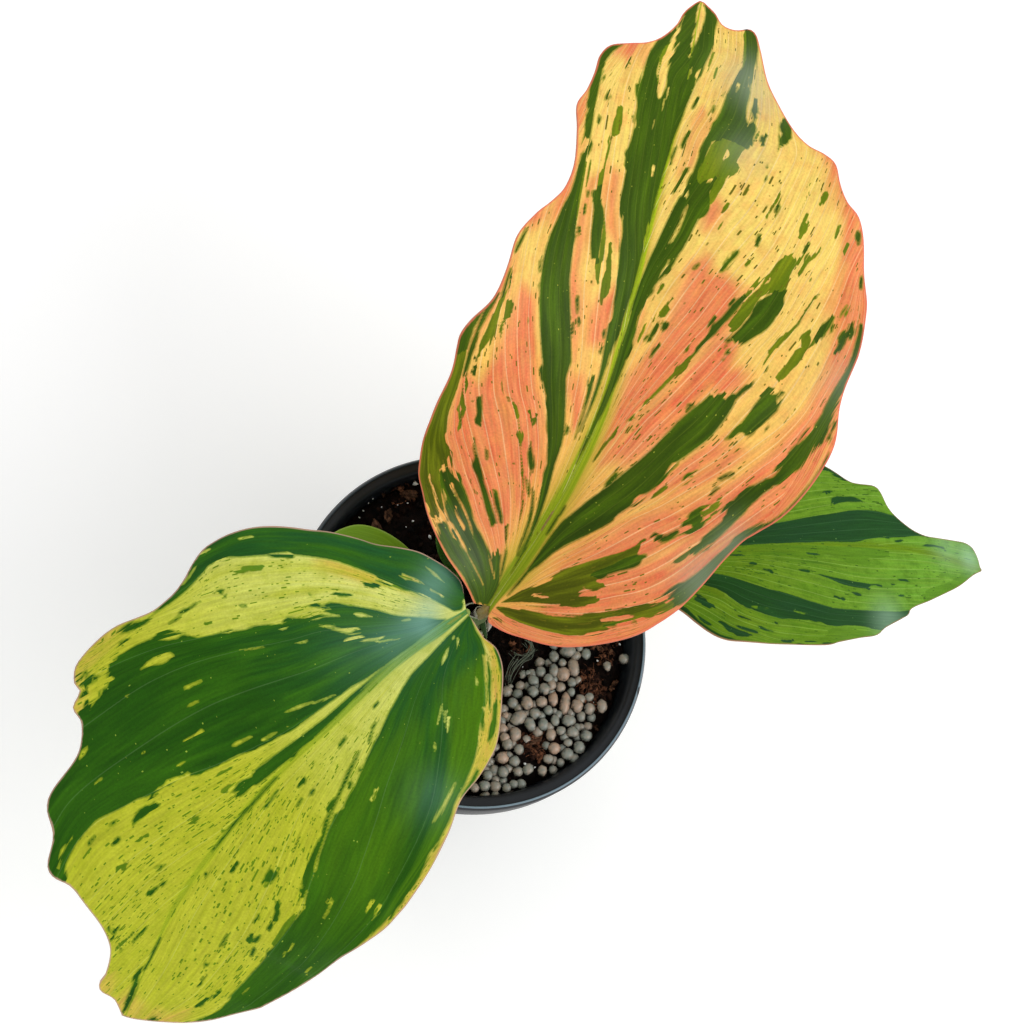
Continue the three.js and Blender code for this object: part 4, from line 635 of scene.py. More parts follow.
MARKINGS["leaf_lime"]["clear_lines"] = [
    [0.5, 26, 6.9, 29, 8.8, 31, 10.3, 33.4, 12], [0.5, 16, 6.3, 18.5, 7.3], [0.35, 22.3, 4.2, 27, 6.6],
    [0.45, 41, 18.9, 42.6, 20.6], [0.45, 44, 4.2, 49.7, 6.5], [0.4, 50, 7, 54, 8.6, 57.7, 10],
    [0.5, 57, 6, 58.5, 6.8], [0.6, 66, 10.8, 68.7, 11.9], [0.5, 61, 7.3, 64.5, 8.3],
    [0.6, 66, 28.8, 68, 29.8], [0.5, 68.8, 25.7, 70, 26.4], [0.5, 76, 38.1, 76.8, 39],
    [0.6, 82, 27, 83.5, 27.6], [0.6, 78.8, 18.2, 80.5, 18.9], [0.45, 73, 20.3, 75.5, 21],
    [0.4, 49, 24.4, 54, 27.4], [0.5, 92.3, 31.1, 94, 31.4], [0.6, 90, 38.5, 92.7, 37.9],
    [0.5, 44.5, 50.9, 50, 49.7, 54, 48.9], [0.4, 33.3, 46.6, 34.8, 48], [0.5, 40.8, 51.6, 42, 51.7],
    [0.6, 26, -15.7, 28, -16.8, 30.8, -18.3], [0.5, 26.8, -17.8, 29.8, -19.7],
    [0.7, 27.6, -19.4, 30.8, -21], [0.6, 35.5, -21, 37, -22.4], [0.5, 8, -3.4, 9.4, -4],
    [0.9, 39, -31.3, 43, -32.3, 50, -34], [0.4, 53.8, -19, 55, -19.7], [0.6, 75, -36.9, 78.6, -37.5],
    [0.5, 74.5, -38.9, 79, -39.4], [0.5, 63.5, -34.5, 65, -35.1], [0.6, 82.6, -28.4, 84, -28.7],
    [0.45, 101.3, -28.1, 104, -27.9], [0.45, 103, -35.1, 107, -35.2], [0.4, 119.5, -24.8, 123.3, -23.4],
]
MARKINGS["leaf_lime"]["flush"] = [
    [0, -3, 2.6, -8, 4, -10.5, 8, -14.6, 14, -21, 20, -24.6, 28, -29.6, 36, -32.6, 44, -34.8, 52, -37.8,
     62, -41, 74, -42.2, 86, -41, 92, -39.4, 92, -46, 60, -46, 30, -38, 6, -24, -3, -12, -3, -3],
    [4, 7.5, 8, 15.5, 11.5, 18.5, 12.2, 15.5, 8, 10], [0, 8, 2, 15.5, 4.2, 17, 3.2, 12, 1.5, 8.5],
    [17, 20, 20, 23.5, 24.5, 29.8, 27, 31, 24, 26, 19.5, 19.5],
    [68, 51, 71, 56, 80, 56, 84, 50, 87, 45, 85, 45, 80.5, 49, 78, 51.5, 73, 51.5],
    [133, 1, 136, -8, 133, -14, 138, -14, 143, -3, 143, 2, 138, 4],
    [130, 6.5, 131, 11, 137, 10, 138, 4, 135, 6],
]
MARKINGS["leaf_green"]["dark"] = [
    [20, 11, 28, 15.4, 29.5, 17.5, 31, 20, 33, 22.4, 35, 24.4, 37, 25.5, 40, 26.8, 44, 28, 40, 29.5,
     33, 26.5, 27, 19.5, 20, 13],
    [31.3, 13.5, 33, 12.3, 34, 13.3, 36, 14.5, 36.2, 16.8, 35, 17, 34, 16.3, 33.5, 15, 32, 14.2],
    [36.8, 21.5, 38, 21.4, 39.5, 22.8, 41, 23.8, 43, 24.8, 45.8, 25.9, 46, 26.5, 44, 26.8, 42, 26.5,
     40, 25.8, 38.3, 24, 37.5, 22.5],
    [49.3, 24, 51, 24.2, 53, 25.2, 57, 26, 56.5, 26.4, 53, 25.8, 50.5, 25.1],
    [56, 23.1, 57.5, 23.2, 59.3, 23.9, 59, 24.4, 57, 24],
    [18, 4, 28, 7, 36.5, 10.5, 39, 11.5, 41, 13, 43, 15, 44.5, 16.3, 47, 18.3, 50, 19.6, 53, 20.8,
     56, 21.7, 60, 22.8, 63, 22.9, 66, 23, 70, 23.3, 74, 24, 77, 25.2, 80, 25.5, 84, 25, 88, 24.9, 92, 25,
     95, 25.3, 97.7, 25.8, 101, 27, 108, 23.5, 113, 20.5, 111, 19.8, 109, 20.2, 106, 20.5, 102, 20.4,
     96, 20.3, 85, 20.2, 80, 20, 75, 18.7, 70, 17.2, 66, 15.9, 62, 14.8, 58, 14, 54, 12.7, 50, 11,
     46, 9.2, 43, 8, 36, 6, 28, 4.4],
    [76.8, 9.7, 79, 9.9, 81, 10.3, 83, 10.7, 87, 11.3, 92, 11.8, 97, 12.2, 99.5, 12.3, 96.6, 13.2,
     96.3, 13.8, 94, 13.7, 90, 13.4, 86, 13, 83.5, 12.1, 81, 11],
    [88.3, 14.9, 91, 15, 93.3, 15.5, 93, 16.1, 90.5, 16.1, 89.3, 15.4],
    [30, 0, 52, 0.3, 62, 0.4, 68, 0.2, 76, -0.1, 84, -0.4, 90, -0.5, 93, -0.7, 96, -1, 99, -1.8,
     103, -2.5, 107, -2.8, 112, -3.2, 116, -3.8, 120, -4.7, 124, -5.3, 122, -7, 114, -10, 110, -10.4,
     107, -10.9, 103, -11.1, 98, -11, 94, -10.5, 90, -9.7, 86, -9, 82, -8.5, 70, -6.5, 60, -5, 45, -2.8],
    [87.7, -11.7, 89, -12, 91, -12.7, 94, -13.3, 98, -13.5, 100, -13.8, 98.5, -14.5, 96, -15, 93, -14.9,
     90.5, -15, 89.3, -14.3, 88.2, -13],
    [86, -27, 89, -23, 92, -21.3, 96, -20, 99, -19.5, 98, -22, 91, -27],
    [121.5, -1.6, 124, -2, 127, -2.5, 131, -2.8, 130, -3.3, 127, -3.2, 124, -2.7],
]
MARKINGS["leaf_green"]["dark_lines"] = [
    [0.8, 31, 18.9, 32.5, 20.6, 34.2, 21.9], [0.8, 42, 23.4, 45.5, 24.8, 49, 26],
    [0.6, 42.5, 19.9, 45, 21.1, 47, 22.4], [0.6, 58.5, 28.8, 62.7, 29.3],
    [0.5, 47.5, 2.5, 50, 3, 52.7, 3.3], [0.4, 50, 1.8, 53.3, 2.3], [0.5, 75, 3.2, 80.3, 3.7],
    [0.5, 53.3, 5.9, 55, 6], [0.6, 71, 8.4, 74, 8.7], [0.5, 109, 10.4, 112.6, 10.5],
    [0.5, 108.8, 15.4, 110.5, 15.5], [0.6, 99, 12.4, 102.2, 12.8], [0.5, 105, 12.1, 107, 12.2],
    [0.6, 110.3, -1.8, 113.7, -2.3], [0.9, 86.3, -15.6, 89.7, -16.4], [0.8, 64, 30.2, 70, 30.7, 77, 30.6],
    [0.4, 65, 6, 66, 6], [0.4, 58, 8, 60, 8.6], [0.4, 83, 17, 85, 17.2],
]
MARKINGS["leaf_green"]["olive"] = [
    [34, 11, 37, 10.4, 42, 13.6, 41.5, 15, 38, 14, 35.5, 12.6],
    [78, 26, 86, 26, 95, 26.4, 97, 27.6, 90, 29, 80, 30.5, 72, 31, 72, 29],
    [120, 12.8, 130, 9, 138, 4.5, 143, 1.6, 143, 4, 136, 9.6, 126, 15, 119, 17.5],
]
MARKINGS["leaf_green"]["olive_lines"] = [
    [3, 48, 1.8, 70, 2.4, 90, 2.8, 106, 2.4], [2, 88, 5, 98, 5],
]
MARKINGS["leaf_green"]["clear"] = []
MARKINGS["leaf_green"]["clear_lines"] = [
    [0.6, 48.5, 18.5, 52, 18.8], [0.5, 53, 19.3, 56, 19.6], [0.4, 65, 20.5, 70, 21.8],
    [0.5, 46, 17.3, 47.2, 18],
]
MARKINGS["leaf_green"]["flush"] = [
    [34, 11, 37, 10.2, 41, 12.8, 39, 14, 36, 12.8],
]

# Side veins in order from the midrib to the margin, on the same flat leaf, and how far apart they
# lie beyond the last one
VEIN_GAP = 6.5
VEINS = {leaf: {} for leaf in ("leaf_peach", "leaf_lime", "leaf_green")}
VEINS["leaf_peach"]["right"] = [
    [0, 0.1, 70, 0.2, 92, 0.8, 103, 2.6, 114, 4.8, 124, 7.5, 134, 8.4, 142, 10.6, 152, 12, 160, 13.6,
     172, 12.6],
    [0, 0.3, 50, 0.6, 70, 1.5, 80, 2.6, 88, 3.2, 96, 5.2, 105, 9.6, 115, 12, 123, 15.6, 135, 18.6,
     143, 20.8, 155, 19.5, 168, 16.5],
    [0, 0.5, 40, 1.6, 58, 3.4, 70, 6.4, 80, 10.2, 90, 14.8, 100, 19, 108, 23.2, 118, 27.8, 127, 30.2,
     137, 32, 145, 29],
    [0, 0.7, 20, 1.6, 40, 3.4, 59, 7.4, 66, 10.9, 73, 14.8, 80, 18.9, 86, 22.3, 92, 25.3, 99, 29.6,
     107, 33.4, 117, 35.8, 128, 37.6, 138, 39.4],
    [0, 0.9, 20, 2.7, 29, 3.6, 37, 6.4, 44, 9.8, 50, 12.6, 58, 16.6, 66, 21.6, 75, 27, 84, 31.6, 92, 35.8,
     100, 38.4, 110, 41.7, 120, 44.4, 131, 45.2],
    [0, 1.1, 13, 3.2, 21, 5.7, 29, 10.1, 36, 14, 45, 18.4, 55, 22.5, 62, 28, 70, 31.9, 77, 36, 85, 38.5,
     95, 42.7, 105, 46.6, 115, 49, 126, 50.2],
    [0, 1.3, 8, 3.6, 15, 6, 21, 9, 27, 12.3, 33, 15.3, 38, 18.3, 44, 23, 50, 27.5, 56, 33, 62, 39,
     67, 44.5, 72, 48.3, 80, 50.8, 90, 51.6, 100, 54, 112, 56.4],
    [0, 1.5, 2.5, 2.4, 8, 6.3, 14, 11, 20, 16, 25, 20.3, 31, 25.3, 37, 29.8, 44, 34.8, 50, 38.4, 56, 42.6,
     61, 48, 66, 52, 72, 55.4, 84, 57.2, 98, 57.8],
    [0, 1.7, 2.5, 4, 5, 8.5, 7.5, 13, 11.5, 19.3, 17, 26, 23, 32.3, 29, 36.5, 35, 39.6, 42, 42.4, 48, 46,
     54, 51.2, 60, 56.3, 68, 60],
    [-0.2, 1.9, 0.2, 5, 1, 9, 3, 15, 5.5, 20.5, 9, 25.3, 14, 29.6, 20, 35, 26, 39, 33, 41.8],
    [-2.6, 3, -2.9, 6, -1.9, 11, 0.5, 18, 4, 23.5, 10, 30, 17, 35.8, 25, 39.8],
]
VEINS["leaf_peach"]["left"] = [
    [0, -0.1, 50, -3.4, 70, -3.8, 82, -4.8, 94, -5.6, 100, -6.6, 109, -9, 120, -10.3, 138, -11.8,
     150, -11.7, 158, -9, 170, -4.2],
    [0, -0.4, 16, -0.9, 26, -2.5, 38, -5.1, 47, -6.6, 58, -10, 70, -12.6, 80, -15.3, 89, -18, 100, -19.3,
     118, -20.8, 139, -22.4, 150, -20],
    [0, -0.7, 16, -1.4, 27, -3.8, 35, -6.3, 44, -9, 53, -13.1, 62, -17.6, 70, -20.2, 82, -24.2, 94, -25.7,
     102, -24.9, 114, -22.6],
    [0, -1, 10, -2.4, 20, -5.5, 30, -10, 40, -15.3, 50, -20.5, 57, -25.2, 66, -29, 75, -31.5, 85, -32.8,
     96, -33.2],
    [0, -1.3, 6, -2.2, 12, -5, 18, -9.8, 24, -15.2, 31, -21.6, 39, -28, 47, -33.3, 56, -36.9, 66, -38.2,
     74, -38, 80, -36.5],
    [0, -1.6, 4, -3.2, 8, -6, 11, -8.8, 14, -12.8, 17, -17.3, 21.5, -21.8, 26, -27, 32, -31.4, 38, -35,
     46, -37.2, 56, -38, 68, -39.4, 76, -39],
    [0, -2, 3, -4.4, 6, -9, 8.5, -14, 12, -21, 16, -27.5, 21, -32.3, 28, -36, 36, -38.5, 48, -40],
    [-1.7, -4, 2.3, -11.5, 5, -18.3, 10, -26.5, 15, -31.5, 20, -35.2, 30, -38.7],
]
VEINS["leaf_lime"]["right"] = [
    [0, 0.2, 27, 0.8, 42, 1.7, 58, 2.9, 72, 4.7, 84, 7.8, 94, 11.2, 104, 14.8, 113, 18],
    [0, 0.5, 14, 1.2, 24, 1.4, 36, 2.1, 46, 3.9, 58, 5.7, 66, 8, 74, 11.5, 82, 16.5, 90, 20.5, 97, 24.3,
     104, 27.3, 112, 27.8],
    [0, 0.8, 10, 1.8, 18, 3, 26, 5.6, 34, 8.8, 42, 11.8, 50, 15.2, 60, 19.6, 70, 24, 80, 27.8, 90, 31.2,
     100, 34, 106, 34],
    [0, 1.1, 8, 2.7, 16, 5.2, 24, 9.5, 30, 13.5, 36, 17.8, 42, 21, 50, 25.5, 58, 29.6, 66, 34, 74, 38,
     85, 41.6],
    [0, 1.4, 8, 3.2, 15, 6.4, 20, 10, 25, 15.6, 30, 20.4, 36, 23.8, 42, 26.9, 48, 30.2, 54, 33.2,
     60, 36.5, 66, 40.8, 72, 45, 80, 49.6],
    [0, 1.7, 5, 3.6, 10, 7.5, 16, 13, 22, 19.5, 28, 26, 34, 31.5, 40, 36.5, 46, 40.5, 52, 43, 58, 44.4,
     64, 47.2, 69, 50.4, 74, 53],
    [0, 2, 3, 3, 6, 6.2, 10, 11.3, 14, 16, 20, 24, 26, 32.4, 33, 40.4, 38.5, 45.8, 44, 48.3, 52, 47.9,
     60, 48],
    [-3.4, 6, -3.9, 8, -3, 11, -1.5, 14, 2, 19, 6, 22.5, 12, 27, 20, 35.8, 27, 43, 33, 49, 40, 52.4],
]
VEINS["leaf_lime"]["left"] = [
    [0, -0.3, 20, -0.9, 50, -2, 72, -3.2, 90, -4.5, 110, -5, 125, -4.2, 138, -2],
    [0, -0.6, 20, -2.2, 40, -4.4, 52, -6, 66, -9, 80, -13, 92, -16, 104, -17.5, 116, -16.5, 128, -13,
     137, -8],
    [0, -0.9, 10, -2.6, 20, -4.4, 30, -6.2, 40, -8.8, 50, -12, 60, -15.6, 70, -18.5, 80, -22, 90, -25,
     100, -25.5, 112, -24.7, 124, -21.5, 132, -18, 137, -12],
    [0, -1.2, 10, -3.6, 18, -5.4, 30, -10, 40, -14.6, 50, -19.2, 58, -24, 66, -28, 76, -31, 90, -33,
     104, -33, 116, -30.5, 126, -25.5],
    [0, -1.5, 8, -4.4, 20, -10.8, 30, -19.2, 40, -26, 48, -31, 56, -34.8, 66, -38, 78, -39.5, 92, -38.4,
     104, -36.8],
    [0, -1.9, 2.5, -5.5, 4, -10, 8, -14.6, 14, -20.8, 20, -24.8, 28, -29.6, 36, -32.6, 44, -34.6,
     52, -37.8, 62, -41, 74, -42.3],
    [0.3, -3, 1.5, -8.8, 1.3, -13.5, 4, -18, 10, -23.7, 16, -28.5, 22, -32, 34, -34.7, 44, -36.2],
]
VEINS["leaf_green"]["right"] = [
    [0, 0.2, 50, 2, 75, 3.3, 90, 4, 110, 4, 130, 2.5, 144, 1.2],
    [0, 0.5, 30, 2.5, 50, 5, 77, 10, 90, 13, 102, 13.6, 115, 12.6, 130, 9.8],
    [0, 0.9, 20, 3.2, 36, 6.4, 46, 9.3, 58, 14, 70, 17.3, 80, 20, 95, 20.4, 110, 20],
    [0, 1.3, 20, 5.2, 33, 9.8, 41, 13.2, 47, 18.3, 56, 21.7, 66, 23.1, 77, 25.2, 90, 25.2, 98, 26],
    [0, 1.7, 15, 7, 25, 11.2, 33, 16.4, 40, 22.5, 48, 26, 58, 28.5, 70, 30, 80, 29.8],
    [0, 2, 12, 7, 20, 11, 26, 15.6, 30, 20.5, 36, 26, 44, 28.2],
]
VEINS["leaf_green"]["left"] = [
    [0, -0.3, 60, -0.4, 84, -0.8, 96, -1.5, 107, -3, 120, -4.8, 128, -5.5],
    [0, -0.7, 30, -2.5, 60, -5, 82, -8.6, 98, -11, 112, -10],
    [0, -1.1, 25, -6, 50, -11, 75, -15, 88, -17, 104, -18.6],
    [0, -1.6, 15, -7, 30, -15, 48, -21, 70, -25, 90, -23],
    [0, -2, 12, -7.5, 20, -14, 30, -20.5, 41, -26, 53, -29, 65, -30],
]

# Settings that many nodes share
SMOOTH = {"interpolation_type": "SMOOTHSTEP"}
COLOURS = {"data_type": "RGBA"}
TIMES = {"operation": "MULTIPLY"}
PLUS = {"operation": "ADD"}
LESS = {"operation": "SUBTRACT"}

# What each leaf shows: colours from its foot to its tip and the stretch in which they change, how
# wide the rib's colour reaches, and how strong the veins and how frequent the flecks are
LOOKS = {
    "leaf_peach": {
        "ground": ("#F2B050", "#FADC6C"), "ground_span": (30, 110),
        "flush": ("#E56440", "#F08858"), "stream": "#ECC45C",
        "mottle": "#F0A050", "mottle_depth": 0.5,
        "rib": ("#6E8008", "#98B410"), "rib_streak": ("#98A428", "#D8D030"), "rib_span": (0, 100),
        "rib_width": (2.8, 0.8), "trough_tint_and_shade": "#B8A82C", "trough_tint_and_shade_depth": 0.75,
        "streak": "#F4BC74", "vein": "#FBE0A8", "vein_strength": 0.42,
        "mark_span": (10, 140),
        "olive": ("#4C5202", "#6A8208"), "olive_streak": "#8A9412",
        "dark": ("#2C4202", "#3A5602"), "dark_streak": "#527204", "dark_patch": "#445C04",
        "dark_vein": "#8A9A30",
        "fleck": "#6E6A10", "fleck_rarity": 0.68, "fleck_rate": 0.18,
        "vein_rows": 3, "quilt": 0.5, "light_fleck": "#A8AE38",
        "painted_sheen": "#A8B4A0", "margin": "#EE7A60", "margin_width": 0.6, "rough": 0.4,
    },
    "leaf_lime": {
        "ground": ("#D8E080", "#B4BA28"), "ground_span": (14, 70),
        "flush": ("#CEB444", "#CCA450"), "stream": "#A4AE1C",
        "mottle": "#9CAA18", "mottle_depth": 0.6,
        "rib": ("#3E7C24", "#9CAE1E"), "rib_streak": ("#7CBC90", "#A8B424"), "rib_span": (0, 62),
        "rib_width": (1.8, 0.7), "trough_tint_and_shade": "#A8B820", "trough_tint_and_shade_depth": 0.4,
        "streak": "#CCCC44", "vein": "#D8DC78", "vein_strength": 0.26,
        "mark_span": (10, 60),
        "olive": ("#5C8A28", "#547808"), "olive_streak": "#6C8A10",
        "dark": ("#1C5426", "#1E4E02"), "dark_streak": "#376C06", "dark_patch": "#2E6004",
        "dark_vein": "#7CA068", "painted_light": "#4A7804", "painted_light_side": (-9, -15),
        "fleck": "#66860C", "fleck_rarity": 0.645, "fleck_rate": 0.26,
        "vein_rows": 1, "quilt": 0.2, "light_fleck": "#8CA838",
        "painted_sheen": "#84B8AC", "margin": "#C8A08C", "margin_width": 0.45, "rough": 0.38,
    },
    "leaf_green": {
        "ground": ("#5A7E04", "#649C28"), "ground_span": (50, 120),
        "flush": ("#6A7818", "#707A1C"), "stream": "#3E6C06",
        "mottle": "#4A7604", "mottle_depth": 0.8,
        "rib": ("#5C7C08", "#608404"), "rib_streak": ("#7C9C1C", "#7C9C1C"), "rib_span": (20, 110),
        "rib_width": (1.6, 0.8), "trough_tint_and_shade": "#6C8A10", "trough_tint_and_shade_depth": 0.5,
        "streak": "#84A42C", "vein": "#98BC54", "vein_strength": 0.45,
        "mark_span": (40, 110),
        "olive": ("#5E7C06", "#5C8C1C"), "olive_streak": "#4E7A0C",
        "dark": ("#16400E", "#1C4A1C"), "dark_streak": "#1E4E1A", "dark_patch": "#1A4420",
        "dark_vein": "#5C8C5C",
        "fleck": "#38600C", "fleck_rarity": 0.68, "fleck_rate": 0.2,
        "vein_rows": 3, "quilt": 0.2, "light_fleck": "#6C9A50",
        "painted_sheen": "#A8D0B0", "margin": "#94784C", "margin_width": 0.35, "rough": 0.38,
    },
}
YOUNG_LOOKS = {
    "leaf_small": {
        "green": ("#5C8410", "#7CA01C"), "vein": "#94B440", "rib": "#B4C860", "margin": "#8CA840",
    },
    "leaf_spear": {
        "green": ("#24480C", "#34600E"), "vein": "#4C7A28", "rib": "#6C9440", "margin": "#48702C",
    },
}

# Petioles: the foot's colour and the colour above
STALK_COLOURS = {
    "leaf_peach": ("#E0D4B4", "#8A7634"),
    "leaf_lime": ("#B8C488", "#88A048"),
    "leaf_green": ("#6A7A3C", "#3C6420"),
    "leaf_small": ("#A8B868", "#6C8E24"),
    "leaf_spear": ("#A0A870", "#3C6420"),
}


def linear(code):
    """A colour like #A0B1C2 as the linear red, green, blue and alpha that a node takes."""
    values = [int(code[i : i + 2], 16) / 255 for i in (1, 3, 5)]
    return [v / 12.92 if v <= 0.04045 else ((v + 0.055) / 1.055) ** 2.4 for v in values] + [1.0]


def put(tree, kind, inputs=(), **settings):
    """Adds a node with its settings. An input takes a value, a #colour, a socket, or a node,
    which stands for its first output in use."""
    added = tree.nodes.new("ShaderNode" + kind)
    for name, value in settings.items():
        setattr(added, name, value)
    for key, value in dict(inputs).items():
        if isinstance(value, bpy.types.Node):
            value = next(socket for socket in value.outputs if socket.enabled)
        if isinstance(value, bpy.types.NodeSocket):
            tree.links.new(value, added.inputs[key])
        else:
            plain = linear(value) if isinstance(value, str) else value
            added.inputs[key].default_value = plain
    return added


def new_material(name):
    """An empty material, and the function that adds nodes to it."""
    material = bpy.data.materials.new(name)
    material.use_nodes = True
    material.node_tree.nodes.clear()
    return material, functools.partial(put, material.node_tree)


def dress(piece, slot, *nodes):
    """The piece rides with the pot and stands for the solids it covers. The slot is not used."""
    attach(piece, "root")
    if nodes:
        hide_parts(*nodes)


def make_piece(name, bm, materials, smooth=True):
    """Millimetres become metres here, and every face turns outward."""
    bmesh.ops.recalc_face_normals(bm, faces=bm.faces)
    bmesh.ops.scale(bm, vec=(MM, MM, MM), verts=bm.verts)
    for face in bm.faces:
        face.smooth = smooth
    mesh = bpy.data.meshes.new(name)
    bm.to_mesh(mesh)
    bm.free()
    for material in materials:
        mesh.materials.append(material)
    piece = bpy.data.objects.new(name, mesh)
    bpy.context.scene.collection.objects.link(piece)
    return piece


def curve_through(points, steps=60):
    """A smooth line through the points, with the length run so far at each of its places."""
    p = np.array(points, float)
    p = np.vstack([2 * p[0] - p[1], p, 2 * p[-1] - p[-2]])
    t = np.linspace(0, 1, steps, endpoint=False)[:, None]
    parts = []
    for a, b, c, d in zip(p, p[1:], p[2:], p[3:]):
        cubic = (3 * b - 3 * c + d - a) * t**3
        parts.append(0.5 * (2 * b + (c - a) * t + (2 * a - 5 * b + 4 * c - d) * t**2 + cubic))
    line = np.vstack(parts + [p[-2][None]])
    run = np.r_[0, np.cumsum(np.linalg.norm(np.diff(line, axis=0), axis=1))]
    return line, run


def along_line(line, run, where):
    """Places on a line, by the length run to each."""
    return np.stack([np.interp(where, run, column) for column in line.T], -1)


def area_depth(points, corners):
    """How deep each point lies inside an area: positive inside, negative outside, to MARK_REACH."""
    corners = np.array(corners, float).reshape(-1, 2)
    depth = np.full(len(points), -MARK_REACH)
    low = corners.min(0) - MARK_REACH
    high = corners.max(0) + MARK_REACH
    near = np.flatnonzero(np.all((points > low) & (points < high), axis=1))
    p = points[near]
    nearest = np.full(len(p), MARK_REACH)
    inside = np.zeros(len(p), bool)
    for a, b in zip(corners, np.roll(corners, -1, axis=0)):
        ab = b - a
        t = np.clip(((p - a) @ ab) / max(ab @ ab, 1e-9), 0, 1)
        nearest = np.minimum(nearest, np.hypot(*(p - a - t[:, None] * ab).T))
        if a[1] != b[1]:
            crossing = (p[:, 1] - a[1]) / ab[1] * ab[0] + a[0]
            inside ^= ((a[1] > p[:, 1]) != (b[1] > p[:, 1])) & (p[:, 0] < crossing)
    depth[near] = np.where(inside, nearest, -nearest)
    return depth


def stroke_depth(points, stroke):
    """The same for a stroke that thins towards its two ends."""
    width = stroke[0]
    path = np.array(stroke[1:], float).reshape(-1, 2)
    depth = np.full(len(points), -MARK_REACH)
    low = path.min(0) - MARK_REACH
    high = path.max(0) + MARK_REACH
    near = np.flatnonzero(np.all((points > low) & (points < high), axis=1))
    p = points[near]
    lengths = np.hypot(*np.diff(path, axis=0).T)
    runs = np.r_[0, np.cumsum(lengths)] / lengths.sum()
    for a, b, from_, to in zip(path, path[1:], runs, runs[1:]):
        ab = b - a
        t = np.clip(((p - a) @ ab) / max(ab @ ab, 1e-9), 0, 1)
        share = from_ + (to - from_) * t
        half = width * (0.3 + 0.35 * np.sqrt(np.clip(1 - (2 * share - 1) ** 2, 0, 1)))
        depth[near] = np.maximum(depth[near], half - np.hypot(*(p - a - t[:, None] * ab).T))
    return depth


def mark_depth(points, marks, kind):
    """How deep each point lies inside the areas and strokes of one kind together."""
    depth = np.full(len(points), -MARK_REACH)
    for area in marks[kind]:
        depth = np.maximum(depth, area_depth(points, area))
    for stroke in marks.get(kind + "_lines", []):
        depth = np.maximum(depth, stroke_depth(points, stroke))
    return depth


def green_depths(points, marks):
    """Depth inside the dark and the olive markings, with the clear places taken out of both."""
    clear = mark_depth(points, marks, "clear")
    return [np.minimum(mark_depth(points, marks, kind), -clear) for kind in ("dark", "olive")]


def vein_place(points, guides):
    """How many guide veins lie between the first one and each point, the way the veins run there,
    and how far apart the two nearest guides are, VEIN_GAP beyond the first and the last."""
    sides = []
    heading = np.zeros((len(points), 2))
    for guide in guides:
        line, _ = curve_through(guide, 6)
        beyond = line[-1] - line[-4]
        line = np.vstack([line, line[-1] + beyond * 60 / np.hypot(*beyond)])
        best = np.full(len(points), 1e9)
        side = np.zeros(len(points))
        way = np.zeros((len(points), 2))
        for a, b in zip(line, line[1:]):
            ab = b - a
            rel = points - a
            t = np.clip((rel @ ab) / (ab @ ab), 0, 1)
            gap = np.hypot(*(rel - t[:, None] * ab).T)
            closer = gap < best
            best = np.where(closer, gap, best)
            turn = ab[0] * rel[:, 1] - ab[1] * rel[:, 0]
            side = np.where(closer, np.sign(turn) * gap, side)
            way[closer] = ab / np.hypot(*ab)
        sides.append(side)
        heading += way / (best[:, None] + 0.3) ** 3
    place = np.zeros(len(points))
    apart = np.full(len(points), VEIN_GAP)
    for inner, outer in zip(sides, sides[1:]):
        wide = np.abs(inner) + np.abs(outer)
        between = np.where(inner > 0, inner, np.abs(outer)) / np.maximum(wide, 1e-6)
        between = np.where((inner > 0) == (outer > 0), np.where(inner > 0, 1, 0), between)
        place += between
        apart = np.where((inner > 0) != (outer > 0), np.minimum(apart, wide), apart)
    place += (np.minimum(sides[0], 0) + np.maximum(sides[-1], 0)) / VEIN_GAP
    return place, heading / np.hypot(*heading.T)[:, None], apart


class Blade:
    """A leaf's surface: along the midrib, to the side, and lifted off the middle of the blade."""

    def __init__(self, name):
        self.name = name
        for key, value in LEAVES[name].items():
            setattr(self, key, value)
        self.line, self.run = curve_through(self.spine, 200)
        self.length = self.run[-1]
        way = np.gradient(self.line, self.run, axis=0)
        self.way = way / np.linalg.norm(way, axis=1)[:, None]
        self.margins = {-1: curve_through(self.left), 1: curve_through(self.right)}

    def rise(self, along, across):
        """How far the leaf stands off its flat lie: the V, the bend at the sides, the ruffle."""
        width = np.abs(across)
        fold = self.cup * np.exp(-np.maximum(along, 0) / self.fade)
        height, length, reach, phase = self.wave
        turn = 2 * math.pi * along / length + phase + np.where(across < 0, math.pi / 2, 0)
        ruffle = height * (width / reach) ** 3 * np.sin(turn)
        return fold * (np.hypot(width, TROUGH_RADIUS) - TROUGH_RADIUS) - self.droop * width**2 + ruffle

    def at(self, along, across, lift=0.0):
        """Points of the flat leaf in the pot's frame, lifted off the surface if asked."""
        along = np.asarray(along, float)
        across = np.asarray(across, float)
        held = np.clip(along, 0, self.length)
        centre = along_line(self.line, self.run, held)
        forward = along_line(self.way, self.run, held)
        forward /= np.linalg.norm(forward, axis=-1)[..., None]
        side = np.cross(forward, [0, 0, 1.0])
        side /= np.linalg.norm(side, axis=-1)[..., None]
        up = np.cross(side, forward)
        centre = centre + forward * (along - held)[..., None]
        height = self.rise(along, across) + lift
        return centre + side * across[..., None] + up * height[..., None]

    def spread(self, u, v):
        """u runs from the foot to the tip, v from the left margin at -1 to the right at 1."""
        foot = self.length * u**ROWS_TO_FOOT
        edge = np.zeros((len(u), 2))
        for sign, (line, run) in self.margins.items():
            here = (v > 0) == (sign > 0)
            edge[here] = along_line(line, run, u[here] * run[-1])
        part = np.abs(v)
        return np.stack([foot + (edge[:, 0] - foot) * part, edge[:, 1] * part], -1)

    def outline(self):
        """The whole margin as one area."""
        left = self.margins[-1][0][::6]
        right = self.margins[1][0][::6]
        return np.vstack([left, right[::-1]])


